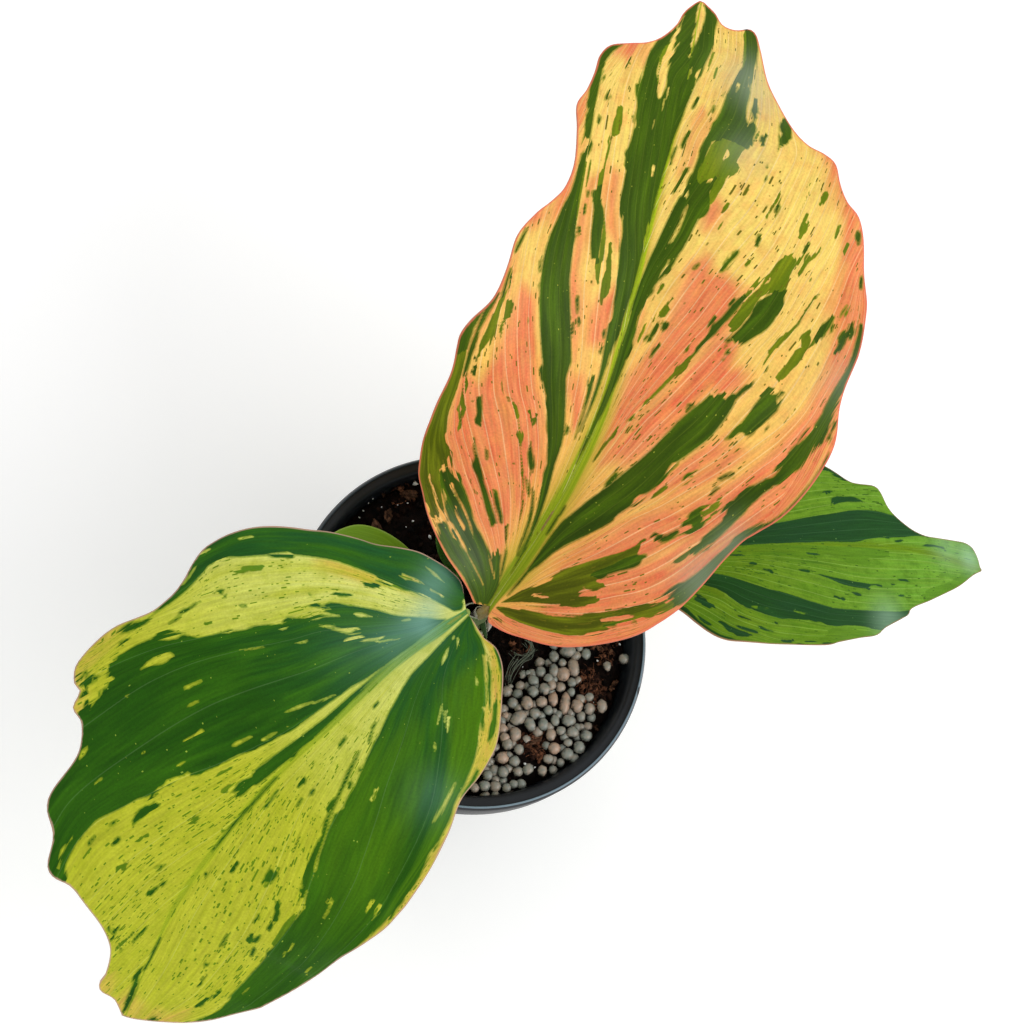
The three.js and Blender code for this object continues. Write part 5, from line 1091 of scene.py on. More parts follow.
def leaf_blade(blade, materials):
    """A flat grid laid onto the leaf's surface, with its markings measured at each corner."""
    bm = bmesh.new()
    bmesh.ops.create_grid(bm, x_segments=blade.rows, y_segments=2 * blade.columns, size=1)
    piece = make_piece(blade.name + "_blade", bm, materials)
    mesh = piece.data
    count = len(mesh.vertices)
    flat = np.zeros(count * 3)
    mesh.vertices.foreach_get("co", flat)
    u, v = flat.reshape(-1, 3)[:, :2].T / MM
    plane = blade.spread(np.clip((u + 1) / 2, 0, 1), v)
    along, across = plane.T
    measure = {}
    measure["place"] = np.stack([along, across, area_depth(plane, blade.outline())], -1)
    vein = np.zeros(count)
    apart = np.full(count, VEIN_GAP)
    heading = np.tile([1.0, 0.0], (count, 1))
    if blade.name in VEINS:
        for side, sign in (("right", 1), ("left", -1)):
            half = (across >= 0) == (sign > 0)
            mirror = [1, sign]
            guides = [np.reshape(guide, (-1, 2)) * mirror for guide in VEINS[blade.name][side]]
            # Guides run outward, so a point beyond one lies on its left
            vein[half], way, apart[half] = vein_place(plane[half] * mirror, guides)
            heading[half] = way * mirror
            vein[half] *= sign
        marks = MARKINGS[blade.name]
        dark, olive = green_depths(plane, marks)
        dark_on, olive_on = green_depths(plane + heading * PROBE, marks)
        # An edge is blunt where it lies across the veins, and only there it breaks into teeth
        blunt = np.maximum(np.abs(dark_on - dark), np.abs(olive_on - olive)) / PROBE
        measure["marks"] = np.stack([dark, olive, np.clip(blunt, 0, 1)], -1)
        flush = mark_depth(plane, marks, "flush")
        # Painted sheen: soft pale patches that stand in for reflections on the wax
        painted_sheen = np.zeros(count)
        for x, y, radius, amount in PAINTED_SHEEN[blade.name]:
            gap = np.hypot(along - x, across - y) / radius
            painted_sheen += amount * np.exp(-(gap**2))
        measure["tones"] = np.stack([flush, painted_sheen, np.zeros(count)], -1)
    else:
        reach = np.interp(along, *np.array(blade.right).T)
        vein = across / np.maximum(reach, 1) * YOUNG_VEINS
    measure["veins"] = np.stack([vein, np.hypot(along, across), apart], -1)
    for name, values in measure.items():
        layer = mesh.attributes.new(name, "FLOAT_VECTOR", "POINT")
        layer.data.foreach_set("vector", values.ravel())
    mesh.vertices.foreach_set("co", (blade.at(along, across) * MM).ravel())
    mesh.flip_normals()
    mesh.update()
    solid = piece.modifiers.new("thickness", "SOLIDIFY")
    solid.thickness = BLADE_THICKNESS * MM
    solid.offset = 0
    solid.material_offset = 1
    solid.material_offset_rim = 2
    dress(piece, SLOTS.get(blade.name, blade.name), blade.name)


def tube(bm, points, radius_at, sides=16, steps=60):
    """A round rod grown ring by ring along a smooth line, closed at both ends."""
    line, run = curve_through(points, 30)
    places = along_line(line, run, np.linspace(0, run[-1], steps + 1))
    ways = np.gradient(places, axis=0)
    size = radius_at(0.0)
    ring = bmesh.ops.create_circle(bm, cap_ends=True, segments=sides, radius=size)["verts"]
    aim = Vector((0, 0, 1)).rotation_difference(Vector(ways[0])).to_matrix().to_4x4()
    bmesh.ops.transform(bm, matrix=Matrix.Translation(places[0]) @ aim, verts=ring)
    end = ring[0].link_faces[0]
    for i in range(1, steps + 1):
        grown = bmesh.ops.extrude_face_region(bm, geom=[end])["geom"]
        ring = [item for item in grown if isinstance(item, bmesh.types.BMVert)]
        end = next(item for item in grown if isinstance(item, bmesh.types.BMFace))
        turn = Vector(ways[i - 1]).rotation_difference(Vector(ways[i])).to_matrix().to_4x4()
        thinner = Matrix.Scale(radius_at(i / steps) / size, 4)
        move = Matrix.Translation(places[i]) @ turn @ thinner
        move = move @ Matrix.Translation(-Vector(places[i - 1]))
        bmesh.ops.transform(bm, matrix=move, verts=ring)
        size = radius_at(i / steps)


def vein_streaks(add, veins, per_vein, per_mm, shift=0.0):
    """Noise drawn out along the side veins, from 0 to 1."""
    wide = add("Math", {0: veins.outputs[0], 1: per_vein}, **TIMES)
    long = add("Math", {0: veins.outputs[1], 1: per_mm}, **TIMES)
    spot = add("CombineXYZ", {"X": wide, "Y": long, "Z": shift})
    return add("TexNoise", {"Vector": spot, "Scale": 1.0, "Detail": 3.0, "Roughness": 0.55})


def cell_rows(add, veins, rows, per_mm, shift, detail=1.0):
    """Noise that changes at once from one row of cells to the next, as the green in the leaf does,
    and how near the middle of its row a place is: 0 in the middle, 0.5 at the rim."""
    across = add("Math", {0: veins.outputs[0], 1: rows}, **TIMES)
    row = add("Math", {0: across}, operation="FLOOR")
    apart = add("Math", {0: row, 1: 7.37}, **TIMES)
    long = add("Math", {0: veins.outputs[1], 1: per_mm}, **TIMES)
    spot = add("CombineXYZ", {"X": apart, "Y": long, "Z": shift})
    value = add("TexNoise", {"Vector": spot, "Scale": 1.0, "Detail": detail})
    middle = add("Math", {0: across, 1: row}, **LESS)
    middle = add("Math", {0: middle, 1: 0.5}, **LESS)
    return value, add("Math", {0: middle}, operation="ABSOLUTE")


def dashes(add, veins, rows, per_mm, rarity, shift):
    """Short dashes one row of cells wide, from 0 to 1."""
    value, middle = cell_rows(add, veins, rows, per_mm, shift)
    long = add("Math", {0: value, 1: rarity}, **LESS)
    long = add("MapRange", {0: long, 1: 0.0, 2: 0.03}, **SMOOTH)
    wide = add("MapRange", {0: middle, 1: 0.45, 2: 0.3}, **SMOOTH)
    return add("Math", {0: long, 1: wide}, **TIMES)


def stripe_edges(add, veins, marks, open_veins, on_leaf):
    """Where the dark and the olive green lie, from 0 to 1. Blunt ends break into square teeth
    0.8 mm wide, one row of cells each. Close to the rib and the foot, where the rows crowd
    together, they are too fine to show."""
    teeth, _ = cell_rows(add, veins, 8.0, 0.1, 0.0)
    teeth = add("MapRange", {0: teeth, 1: 0.2, 2: 0.8, 3: -2.3, 4: 2.3})
    ragged = add("Math", {0: teeth, 1: marks.outputs[2]}, **TIMES)
    ragged = add("Math", {0: ragged, 1: open_veins}, **TIMES)
    grain = add("TexNoise", {"Vector": on_leaf, "Scale": 1400.0, "Detail": 2.0})
    grain = add("MapRange", {0: grain, 3: -0.12, 4: 0.12})
    ragged = add("Math", {0: ragged, 1: grain}, **PLUS)
    dark_depth = add("Math", {0: marks.outputs[0], 1: ragged}, **PLUS)
    olive_depth = add("Math", {0: marks.outputs[1], 1: ragged}, **PLUS)
    dark = add("MapRange", {0: dark_depth, 1: -0.12, 2: 0.16}, **SMOOTH)
    fringe = add("MapRange", {0: dark_depth, 1: -0.55, 2: -0.1, 4: 0.7}, **SMOOTH)
    olive = add("MapRange", {0: olive_depth, 1: -0.14, 2: 0.2}, **SMOOTH)
    olive = add("Math", {0: olive, 1: fringe}, operation="MAXIMUM")
    return dark, olive


def leaf_ground(add, look, veins, tones, along, fine, on_leaf):
    """The pale ground between the stripes, with a warm flush running out along the veins."""
    drift = add("MapRange", {0: vein_streaks(add, veins, 1.6, 0.02, 4.0), 3: -4.5, 4: 4.5})
    flush = add("Math", {0: tones.outputs[0], 1: drift}, **PLUS)
    flush = add("MapRange", {0: flush, 1: -3.0, 2: 2.5}, **SMOOTH)
    length = add("MapRange", {0: along, 1: look["ground_span"][0], 2: look["ground_span"][1]})
    colour = add("Mix", {0: length, 6: look["ground"][0], 7: look["ground"][1]}, **COLOURS)
    patches = vein_streaks(add, veins, 2.2, 0.03, 1.0)
    patches = add("MapRange", {0: patches, 1: 0.35, 2: 0.7}, **SMOOTH)
    warm = add("Mix", {0: patches, 6: look["flush"][0], 7: look["flush"][1]}, **COLOURS)
    colour = add("Mix", {0: flush, 6: colour, 7: warm}, **COLOURS)
    stream = add("MapRange", {0: vein_streaks(add, veins, 1.5, 0.015, 12.0), 1: 0.56, 2: 0.68})
    stream = add("Math", {0: stream, 1: 0.6}, **TIMES)
    colour = add("Mix", {0: stream, 6: colour, 7: look["stream"]}, **COLOURS)
    faint = add("MapRange", {0: fine, 1: 0.3, 2: 0.8, 4: 0.5})
    colour = add("Mix", {0: faint, 6: colour, 7: look["streak"]}, **COLOURS)
    mottle = add("TexNoise", {"Vector": on_leaf, "Scale": 260.0, "Detail": 6.0, "Roughness": 0.65})
    mottle = add("MapRange", {0: mottle, 1: 0.45, 2: 0.75, 4: look["mottle_depth"]})
    return add("Mix", {0: mottle, 6: colour, 7: look["mottle"]}, **COLOURS)


def leaf_rib(add, look, colour, along, across, fine):
    """The rib, narrow at the foot and towards the tip, and a tone over the trough beside it, which
    on the peach and the lime leaf is darker: painted shade in the trough."""
    near, far = look["rib_span"]
    rib_length = add("MapRange", {0: along, 1: near, 2: far})
    reach = {0: along, 1: near, 2: far, 3: look["rib_width"][0], 4: look["rib_width"][1]}
    reach = add("MapRange", reach)
    narrow = add("MapRange", {0: along, 1: 0.0, 2: 12.0, 3: 0.4}, **SMOOTH)
    reach = add("Math", {0: reach, 1: narrow}, **TIMES)
    tip = add("MapRange", {0: along, 1: far + 40.0, 2: far + 62.0, 3: 1.0, 4: 0.2}, **SMOOTH)
    reach = add("Math", {0: reach, 1: tip}, **TIMES)
    beside = add("Math", {0: across}, operation="ABSOLUTE")
    beside = add("Math", {0: beside, 1: reach}, operation="DIVIDE")
    wander = add("MapRange", {0: fine, 3: -0.35, 4: 0.35})
    beside = add("Math", {0: beside, 1: wander}, **PLUS)
    # Tone over the trough beside the rib: painted shade where it is darker than the ground, as on the
    # peach and the lime leaf
    flank_tint_and_shade = add("MapRange", {0: beside, 1: 3.0, 2: 0.8, 4: look["trough_tint_and_shade_depth"]}, **SMOOTH)
    opening = add("MapRange", {0: along, 1: 1.0, 2: 12.0})
    flank_tint_and_shade = add("Math", {0: flank_tint_and_shade, 1: opening}, **TIMES)
    colour = add("Mix", {0: flank_tint_and_shade, 6: colour, 7: look["trough_tint_and_shade"]}, **COLOURS)
    rib = add("MapRange", {0: beside, 1: 1.15, 2: 0.7}, **SMOOTH)
    rib_tone = add("Mix", {0: rib_length, 6: look["rib"][0], 7: look["rib"][1]}, **COLOURS)
    lengthwise = add("CombineXYZ", {"X": add("Math", {0: across, 1: 2.2}, **TIMES)})
    lengthwise = add("TexNoise", {"Vector": lengthwise, "Scale": 1.0, "Detail": 3.0})
    lengthwise = add("MapRange", {0: lengthwise, 1: 0.4, 2: 0.7, 4: 0.5})
    near, far = look["rib_streak"]
    rib_streak = add("Mix", {0: rib_length, 6: near, 7: far}, **COLOURS)
    rib_tone = add("Mix", {0: lengthwise, 6: rib_tone, 7: rib_streak}, **COLOURS)
    return add("Mix", {0: rib, 6: colour, 7: rib_tone}, **COLOURS)


def stripe_tones(add, look, veins, along, across, pale):
    """The dark and the olive green: deeper towards the foot of the leaf, with painted light on the
    half that faces the lamp, lighter and warmer there, and thin paler veins through the dark."""
    span = add("MapRange", {0: along, 1: look["mark_span"][0], 2: look["mark_span"][1]})
    olive_tone = add("Mix", {0: span, 6: look["olive"][0], 7: look["olive"][1]}, **COLOURS)
    lighter = vein_streaks(add, veins, 3.0, 0.04, 9.0)
    lighter = add("MapRange", {0: lighter, 1: 0.4, 2: 0.75, 4: 0.8}, **SMOOTH)
    olive_tone = add("Mix", {0: lighter, 6: olive_tone, 7: look["olive_streak"]}, **COLOURS)
    dark_tone = add("Mix", {0: span, 6: look["dark"][0], 7: look["dark"][1]}, **COLOURS)
    dark_tone = add("Mix", {0: lighter, 6: dark_tone, 7: look["dark_streak"]}, **COLOURS)
    patch = vein_streaks(add, veins, 0.7, 0.025, 21.0)
    patch = add("MapRange", {0: patch, 1: 0.45, 2: 0.65, 4: 0.7}, **SMOOTH)
    dark_tone = add("Mix", {0: patch, 6: dark_tone, 7: look["dark_patch"]}, **COLOURS)
    # Painted light: the dark green made lighter and warmer on the half of the leaf that faces the lamp
    if "painted_light" in look:
        near, far = look["painted_light_side"]
        painted_light = add("MapRange", {0: across, 1: near, 2: far}, **SMOOTH)
        fading = add("MapRange", {0: along, 1: 60.0, 2: 100.0, 3: 0.85, 4: 0.2}, **SMOOTH)
        painted_light = add("Math", {0: painted_light, 1: fading}, **TIMES)
        broad = add("MapRange", {0: vein_streaks(add, veins, 1.1, 0.015, 27.0), 1: 0.36, 2: 0.6})
        painted_light = add("Math", {0: painted_light, 1: broad}, **TIMES)
        dark_tone = add("Mix", {0: painted_light, 6: dark_tone, 7: look["painted_light"]}, **COLOURS)
    thread = add("Math", {0: pale, 1: 0.16}, **TIMES)
    dark_tone = add("Mix", {0: thread, 6: dark_tone, 7: look["dark_vein"]}, **COLOURS)
    return dark_tone, olive_tone


def leaf_flecks(add, look, colour, veins, open_veins, dark, on_leaf):
    """Flecks 0.5 mm wide, dark on the ground and bright on the green, thicker in some places."""
    crowd = add("TexNoise", {"Vector": on_leaf, "Scale": 45.0, "Detail": 1.0})
    crowd = add("MapRange", {0: crowd, 1: 0.3, 2: 0.7, 3: 0.05, 4: -0.03})
    rarity = add("Math", {0: crowd, 1: look["fleck_rarity"]}, **PLUS)
    often = look["fleck_rate"]
    fleck = dashes(add, veins, 18.0, often, rarity, 3.0)
    small = dashes(add, veins, 26.0, 2 * often, rarity, 5.0)
    fleck = add("Math", {0: fleck, 1: small}, operation="MAXIMUM")
    fleck = add("Math", {0: fleck, 1: open_veins}, **TIMES)
    bare = add("Math", {0: 1.0, 1: dark}, **LESS)
    fleck = add("Math", {0: fleck, 1: bare}, **TIMES)
    colour = add("Mix", {0: fleck, 6: colour, 7: look["fleck"]}, **COLOURS)
    speck = dashes(add, veins, 24.0, 0.9, 0.74, 11.0)
    speck = add("Math", {0: speck, 1: dark}, **TIMES)
    speck = add("Math", {0: speck, 1: open_veins}, **TIMES)
    return add("Mix", {0: speck, 6: colour, 7: look["light_fleck"]}, **COLOURS)


def waxy_leaf(name, look, under=False):
    """Waxy leaf blade. Grown, not made: green stripes and flecks follow the side veins, the pale
    ground shows between them, and thin wax gives a broad soft shine over fine ribs."""
    material, add = new_material(name)
    place, veins, marks, tones = (
        add("SeparateXYZ", {0: add("Attribute", attribute_name=measure).outputs["Vector"]})
        for measure in ("place", "veins", "marks", "tones")
    )
    along, across, margin = place.outputs
    on_leaf = add("TexCoord").outputs["Object"]
    open_veins = add("MapRange", {0: veins.outputs[2], 1: 1.2, 2: 4.5}, **SMOOTH)
    fine = vein_streaks(add, veins, 9.0, 0.05, 7.0)
    dark, olive = stripe_edges(add, veins, marks, open_veins, on_leaf)
    colour = leaf_ground(add, look, veins, tones, along, fine, on_leaf)
    colour = leaf_rib(add, look, colour, along, across, fine)

    # Pale side veins, about 2.3 mm apart where there are three to a guide
    rows = look["vein_rows"]
    lines = add("Math", {0: veins.outputs[0], 1: rows}, **TIMES)
    lines = add("Math", {0: lines, 1: 0.5}, operation="PINGPONG")
    pale = add("MapRange", {0: lines, 1: 0.02 * rows, 2: 0.003 * rows}, **SMOOTH)
    pale = add("Math", {0: pale, 1: open_veins}, **TIMES)
    strength = add("Math", {0: pale, 1: look["vein_strength"]}, **TIMES)
    colour = add("Mix", {0: strength, 6: colour, 7: look["vein"]}, **COLOURS)

    # Green laid over the ground, then its flecks
    dark_tone, olive_tone = stripe_tones(add, look, veins, along, across, pale)
    colour = add("Mix", {0: olive, 6: colour, 7: olive_tone}, **COLOURS)
    colour = add("Mix", {0: dark, 6: colour, 7: dark_tone}, **COLOURS)
    colour = leaf_flecks(add, look, colour, veins, open_veins, dark, on_leaf)

    # Striae 0.5 mm apart and a grain between them, which darken and lighten every colour
    striae = vein_streaks(add, veins, 13.0, 0.1, 15.0)
    striae = add("MapRange", {0: striae, 1: 0.3, 2: 0.7, 3: 0.84, 4: 1.16})
    weave = vein_streaks(add, veins, 17.0, 1.6, 6.0)
    woven = add("MapRange", {0: weave, 1: 0.3, 2: 0.7, 3: 0.9, 4: 1.1})
    shade = add("Math", {0: striae, 1: woven}, **TIMES)
    colour = add("Mix", {0: 1.0, 6: colour, 7: shade}, blend_type="MULTIPLY", **COLOURS)

    # Painted sheen, pale patches that stand in for reflections on the wax, and the margin
    sheen_unevenness = add("Math", {0: fine, 1: 0.7}, **PLUS)
    painted_sheen = add("Math", {0: tones.outputs[1], 1: sheen_unevenness}, **TIMES)
    colour = add("Mix", {0: painted_sheen, 6: colour, 7: look["painted_sheen"]}, **COLOURS)
    uneven = add("MapRange", {0: fine, 3: -0.3, 4: 0.3})
    edge = add("Math", {0: margin, 1: uneven}, **PLUS)
    edge = add("MapRange", {0: edge, 1: look["margin_width"], 2: 0.1, 4: 0.85}, **SMOOTH)
    colour = add("Mix", {0: edge, 6: colour, 7: look["margin"]}, **COLOURS)
    if under:
        colour = add("Mix", {0: 0.5, 6: colour, 7: "#8A9A70"}, **COLOURS)

    # Relief: low pillows between the veins and a weave of veinlets 0.4 mm apart
    pillow = add("MapRange", {0: lines, 2: 0.5, 4: look["quilt"]}, **SMOOTH)
    pillow = add("Math", {0: pillow, 1: open_veins}, **TIMES)
    weave = add("Math", {0: weave, 1: 0.25}, **TIMES)
    ribs = add("Math", {0: fine, 1: 0.2, 2: weave}, operation="MULTIPLY_ADD")
    height = add("Math", {0: pillow, 1: ribs}, **PLUS)
    bump = add("Bump", {"Strength": 0.4, "Distance": 0.0003, "Height": height})
    low = look["rough"]
    rough = add("MapRange", {0: fine, 1: 0.2, 2: 0.8, 3: low, 4: low + 0.12})
    wax = {"Base Color": colour, "Roughness": rough, "Normal": bump, "IOR": 1.42}
    shader = add("BsdfPrincipled", wax | {"Specular IOR Level": 0.14})
    add("OutputMaterial", {"Surface": shader})
    return material


def plain_leaf(name, look):
    """Waxy leaf of a side shoot: one green with paler side veins and a light rib."""
    material, add = new_material(name)
    place = add("SeparateXYZ", {0: add("Attribute", attribute_name="place").outputs["Vector"]})
    veins = add("SeparateXYZ", {0: add("Attribute", attribute_name="veins").outputs["Vector"]})
    fine = vein_streaks(add, veins, 5.0, 0.08, 2.0)
    tone = add("Mix", {0: fine, 6: look["green"][0], 7: look["green"][1]}, **COLOURS)
    lines = add("Math", {0: veins.outputs[0], 1: 1.5}, **TIMES)
    lines = add("Math", {0: lines, 1: 0.5}, operation="PINGPONG")
    pale = add("MapRange", {0: lines, 1: 0.12, 2: 0.02, 4: 0.15}, **SMOOTH)
    tone = add("Mix", {0: pale, 6: tone, 7: look["vein"]}, **COLOURS)
    beside = add("Math", {0: place.outputs[1]}, operation="ABSOLUTE")
    rib = add("MapRange", {0: beside, 1: 0.7, 2: 0.2, 4: 0.7}, **SMOOTH)
    tone = add("Mix", {0: rib, 6: tone, 7: look["rib"]}, **COLOURS)
    edge = add("MapRange", {0: place.outputs[2], 1: 0.5, 2: 0.1, 4: 0.8}, **SMOOTH)
    tone = add("Mix", {0: edge, 6: tone, 7: look["margin"]}, **COLOURS)
    bump = add("Bump", {"Strength": 0.2, "Distance": 0.0002, "Height": lines})
    wax = {"Base Color": tone, "Roughness": 0.42, "Normal": bump, "IOR": 1.42}
    shader = add("BsdfPrincipled", wax | {"Specular IOR Level": 0.25})
    add("OutputMaterial", {"Surface": shader})
    return material


def fleshy_stalk(name, low, high, span=(80, 105)):
    """Fleshy petiole and sheath: smooth and moist, with fine lengthwise fibres and a paler foot."""
    material, add = new_material(name)
    place = add("TexCoord").outputs["Object"]
    height = add("SeparateXYZ", {0: place}).outputs[2]
    share = add("MapRange", {0: height, 1: span[0] * MM, 2: span[1] * MM})
    stretched = add("Mapping", {"Vector": place, "Scale": (1500.0, 1500.0, 60.0)})
    fibre = add("TexNoise", {"Vector": stretched, "Scale": 1.0, "Detail": 3.0})
    drift = add("MapRange", {0: fibre, 3: -0.25, 4: 0.25})
    share = add("Math", {0: share, 1: drift}, **PLUS)
    tone = add("Mix", {0: share, 6: low, 7: high}, **COLOURS)
    bump = add("Bump", {"Strength": 0.3, "Distance": 0.0002, "Height": fibre})
    flesh = {"Base Color": tone, "Roughness": 0.4, "Normal": bump, "IOR": 1.42}
    shader = add("BsdfPrincipled", flesh | {"Specular IOR Level": 0.3})
    add("OutputMaterial", {"Surface": shader})
    return material


def papery_sheath():
    """Dry sheath: a dead leaf foot, thin as paper, tan with darker lengthwise fibres, matt."""
    material, add = new_material("dry_papery_sheath")
    place = add("TexCoord").outputs["Object"]
    stretched = add("Mapping", {"Vector": place, "Scale": (2400.0, 2400.0, 90.0)})
    fibre = add("TexNoise", {"Vector": stretched, "Scale": 1.0, "Detail": 4.0})
    share = add("MapRange", {0: fibre, 1: 0.35, 2: 0.65})
    tone = add("Mix", {0: share, 6: "#8A6A50", 7: "#D8C0A4"}, **COLOURS)
    bump = add("Bump", {"Strength": 0.6, "Distance": 0.0003, "Height": fibre})
    paper = {"Base Color": tone, "Roughness": 0.75, "Normal": bump}
    add("OutputMaterial", {"Surface": add("BsdfPrincipled", paper)})
    return material


def moulded_plastic():
    """Injection-moulded polypropylene: blue-black, a fine matt texture from the mould, a painted
    highlight along the top of the lip's bead on one side, and dusted with dry mix inside."""
    material, add = new_material("injection_moulded_polypropylene")
    place = add("TexCoord").outputs["Object"]
    grit = add("TexNoise", {"Vector": place, "Scale": 2500.0, "Detail": 2.0})
    cloud = add("TexNoise", {"Vector": place, "Scale": 60.0, "Detail": 4.0})
    share = add("MapRange", {0: cloud, 1: 0.35, 2: 0.7})
    tone = add("Mix", {0: share, 6: "#14171B", 7: "#1E2328"}, **COLOURS)
    dust = add("TexNoise", {"Vector": place, "Scale": 700.0, "Detail": 5.0, "Roughness": 0.7})
    dust = add("MapRange", {0: dust, 1: 0.62, 2: 0.75, 4: 0.35})
    tone = add("Mix", {0: dust, 6: tone, 7: "#34322E"}, **COLOURS)
    # Painted highlight: a pale blue-grey line along the top of the lip's bead, on the side towards the
    # lamp
    spot = add("SeparateXYZ", {0: place})
    low, high = (POT_HEIGHT - 0.16) * MM, (POT_HEIGHT - 0.04) * MM
    bead = add("MapRange", {0: spot.outputs[2], 1: low, 2: high})
    side = add("VectorMath", {0: place, 1: PAINTED_HIGHLIGHT_SIDE}, operation="DOT_PRODUCT")
    side = side.outputs["Value"]
    side = add("MapRange", {0: side, 1: 8 * MM, 2: 34 * MM, 3: 0.12}, **SMOOTH)
    painted_highlight = add("Math", {0: bead, 1: side}, **TIMES)
    tone = add("Mix", {0: painted_highlight, 6: tone, 7: "#7C909C"}, **COLOURS)
    rough = add("MapRange", {0: cloud, 1: 0.3, 2: 0.7, 3: 0.3, 4: 0.42})
    bump = add("Bump", {"Strength": 0.15, "Distance": 0.0001, "Height": grit})
    plastic = {"Base Color": tone, "Roughness": rough, "Normal": bump, "IOR": 1.49}
    plastic["Specular IOR Level"] = 0.35
    add("OutputMaterial", {"Surface": add("BsdfPrincipled", plastic)})
    return material


def peat():
    """Potting mix: damp peat with fine fibre, brown on its crumbs, painted nearly black as shade in its
    hollows.
    """
    material, add = new_material("damp_peat")
    place = add("TexCoord").outputs["Object"]
    crumb = add("TexNoise", {"Vector": place, "Scale": 450.0, "Detail": 8.0, "Roughness": 0.7})
    # Painted shade: the low places of the relief that also drives the bump are coloured nearly black
    share = add("MapRange", {0: crumb, 1: 0.4, 2: 0.72})
    tone = add("Mix", {0: share, 6: "#040302", 7: "#1C100A"}, **COLOURS)
    patch = add("TexNoise", {"Vector": place, "Scale": 120.0, "Detail": 4.0})
    patch = add("MapRange", {0: patch, 1: 0.55, 2: 0.7, 4: 0.6})
    tone = add("Mix", {0: patch, 6: tone, 7: "#241008"}, **COLOURS)
    bump = add("Bump", {"Strength": 1.0, "Distance": 0.0012, "Height": crumb})
    mix = {"Base Color": tone, "Roughness": 0.85, "Normal": bump, "Specular IOR Level": 0.08}
    add("OutputMaterial", {"Surface": add("BsdfPrincipled", mix)})
    return material


def tinted(name, first, second, rough, scale, bump_depth, underside_shade=None):
    """Loose bits whose tint is set bit by bit, with a mottle of the given number per metre, and,
    when a shade colour is given, painted shade on their lower sides."""
    material, add = new_material(name)
    tint = add("Attribute", attribute_name="tint").outputs["Fac"]
    place = add("TexCoord").outputs["Object"]
    mottle = add("TexNoise", {"Vector": place, "Scale": scale, "Detail": 5.0})
    spread = add("MapRange", {0: mottle, 1: 0.3, 2: 0.7, 3: -0.3, 4: 0.3})
    share = add("Math", {0: tint, 1: spread}, use_clamp=True, **PLUS)
    tone = add("Mix", {0: share, 6: first, 7: second}, **COLOURS)
    # Painted shade: faces that point down are darkened towards the given colour
    if underside_shade:
        facing = add("SeparateXYZ", {0: add("NewGeometry").outputs["Normal"]}).outputs[2]
        low = add("Math", {0: facing, 1: spread}, **PLUS)
        low = add("MapRange", {0: low, 1: 0.85, 2: 0.05}, **SMOOTH)
        tone = add("Mix", {0: low, 6: tone, 7: underside_shade}, **COLOURS)
    bump = add("Bump", {"Strength": 0.6, "Distance": bump_depth, "Height": mottle})
    bits = {"Base Color": tone, "Roughness": rough, "Normal": bump}
    bits["Specular IOR Level"] = 0.5 if rough < 0.5 else 0.1
    add("OutputMaterial", {"Surface": add("BsdfPrincipled", bits)})
    return material


def leaf_stalk(blade, material):
    """Petiole and keel as one fleshy rod, drawn out thin under the midrib."""
    keel = blade.length * 0.8
    end = blade.petiole_end
    points = [Vector(p) for p in PETIOLES[blade.name]]
    for share in (0, 0.12, 0.3, 0.5, 0.75, 1):
        sunk = end + (blade.keel_end - end) * share
        points.append(blade.at(share * keel, 0.0, -sunk))
    whole = curve_through(points, 30)[1][-1]
    bare = 1 - keel / whole
    sizes = (PETIOLE_FOOT[blade.name], end, blade.keel_end)

    def radius_at(share):
        return float(np.interp(share, (0, bare, 1), sizes))

    bm = bmesh.new()
    tube(bm, points, radius_at, sides=16, steps=70)
    piece = make_piece(blade.name + "_stalk", bm, [material])
    dress(piece, SLOTS.get(blade.name, blade.name), blade.name)


def spun(profile, steps, closed=False):
    """A profile spun into a body: from the axis to the axis, or closed on itself for a wall."""
    bm = bmesh.new()
    corners = [bm.verts.new((radius, 0, z)) for radius, z in profile]
    following = corners[1:] + corners[:1] if closed else corners[1:]
    edges = [bm.edges.new(pair) for pair in zip(corners, following)]
    bmesh.ops.spin(
        bm, geom=corners + edges, axis=(0, 0, 1), cent=(0, 0, 0), angle=2 * math.pi, steps=steps,
        use_merge=True,
    )
    bmesh.ops.remove_doubles(bm, verts=bm.verts, dist=0.001)
    return bm


def stem_sheath(name, shape, materials, slot, *nodes):
    """A sheath: a strip of wall spun round the stem, with a slanting mouth that may open to an
    oval. Outside, lining and rim each have a material."""
    inner, outer, mouth = shape["inner"], shape["outer"], shape["mouth"]
    between = (inner + outer) / 2
    rows = 40
    heights = [STEM_FOOT + (mouth - STEM_FOOT) * i / rows for i in range(rows + 1)]
    profile = [(outer, z) for z in heights]
    profile.append((between, mouth + 0.12))
    profile += [(inner, z) for z in reversed(heights)]
    bm = spun(profile, steps=48, closed=True)
    for face in bm.faces:
        middle = face.calc_center_median()
        if middle.z > mouth + 0.01:
            face.material_index = 2
        elif middle.xy.length < between:
            face.material_index = 1
    dx, dy, wide, deep = shape.get("oval", (0, 0, 1, 1))
    for vert in bm.verts:
        x, y, z = vert.co
        angle = math.atan2(y, x)
        share = (z - STEM_FOOT) / (mouth - STEM_FOOT)
        lift = shape["slant"] * math.cos(angle - shape["high"]) * max(0, share - 0.6) / 0.4
        open_up = min(1, max(0, (z - mouth + FLARE_DEPTH) / FLARE_DEPTH)) ** 1.5
        thinner = 1 + open_up * 0.2 * (math.hypot(x, y) < between and wide > 1)
        vert.co.x = x * (1 + (wide - 1) * open_up) * thinner + dx * open_up
        vert.co.y = y * (1 + (deep - 1) * open_up) * thinner + dy * open_up
        vert.co.z += min(lift, shape["slant"])
    bmesh.ops.translate(bm, vec=(STEM[0], STEM[1], 0), verts=bm.verts)
    dress(make_piece(name, bm, materials), slot, *nodes)


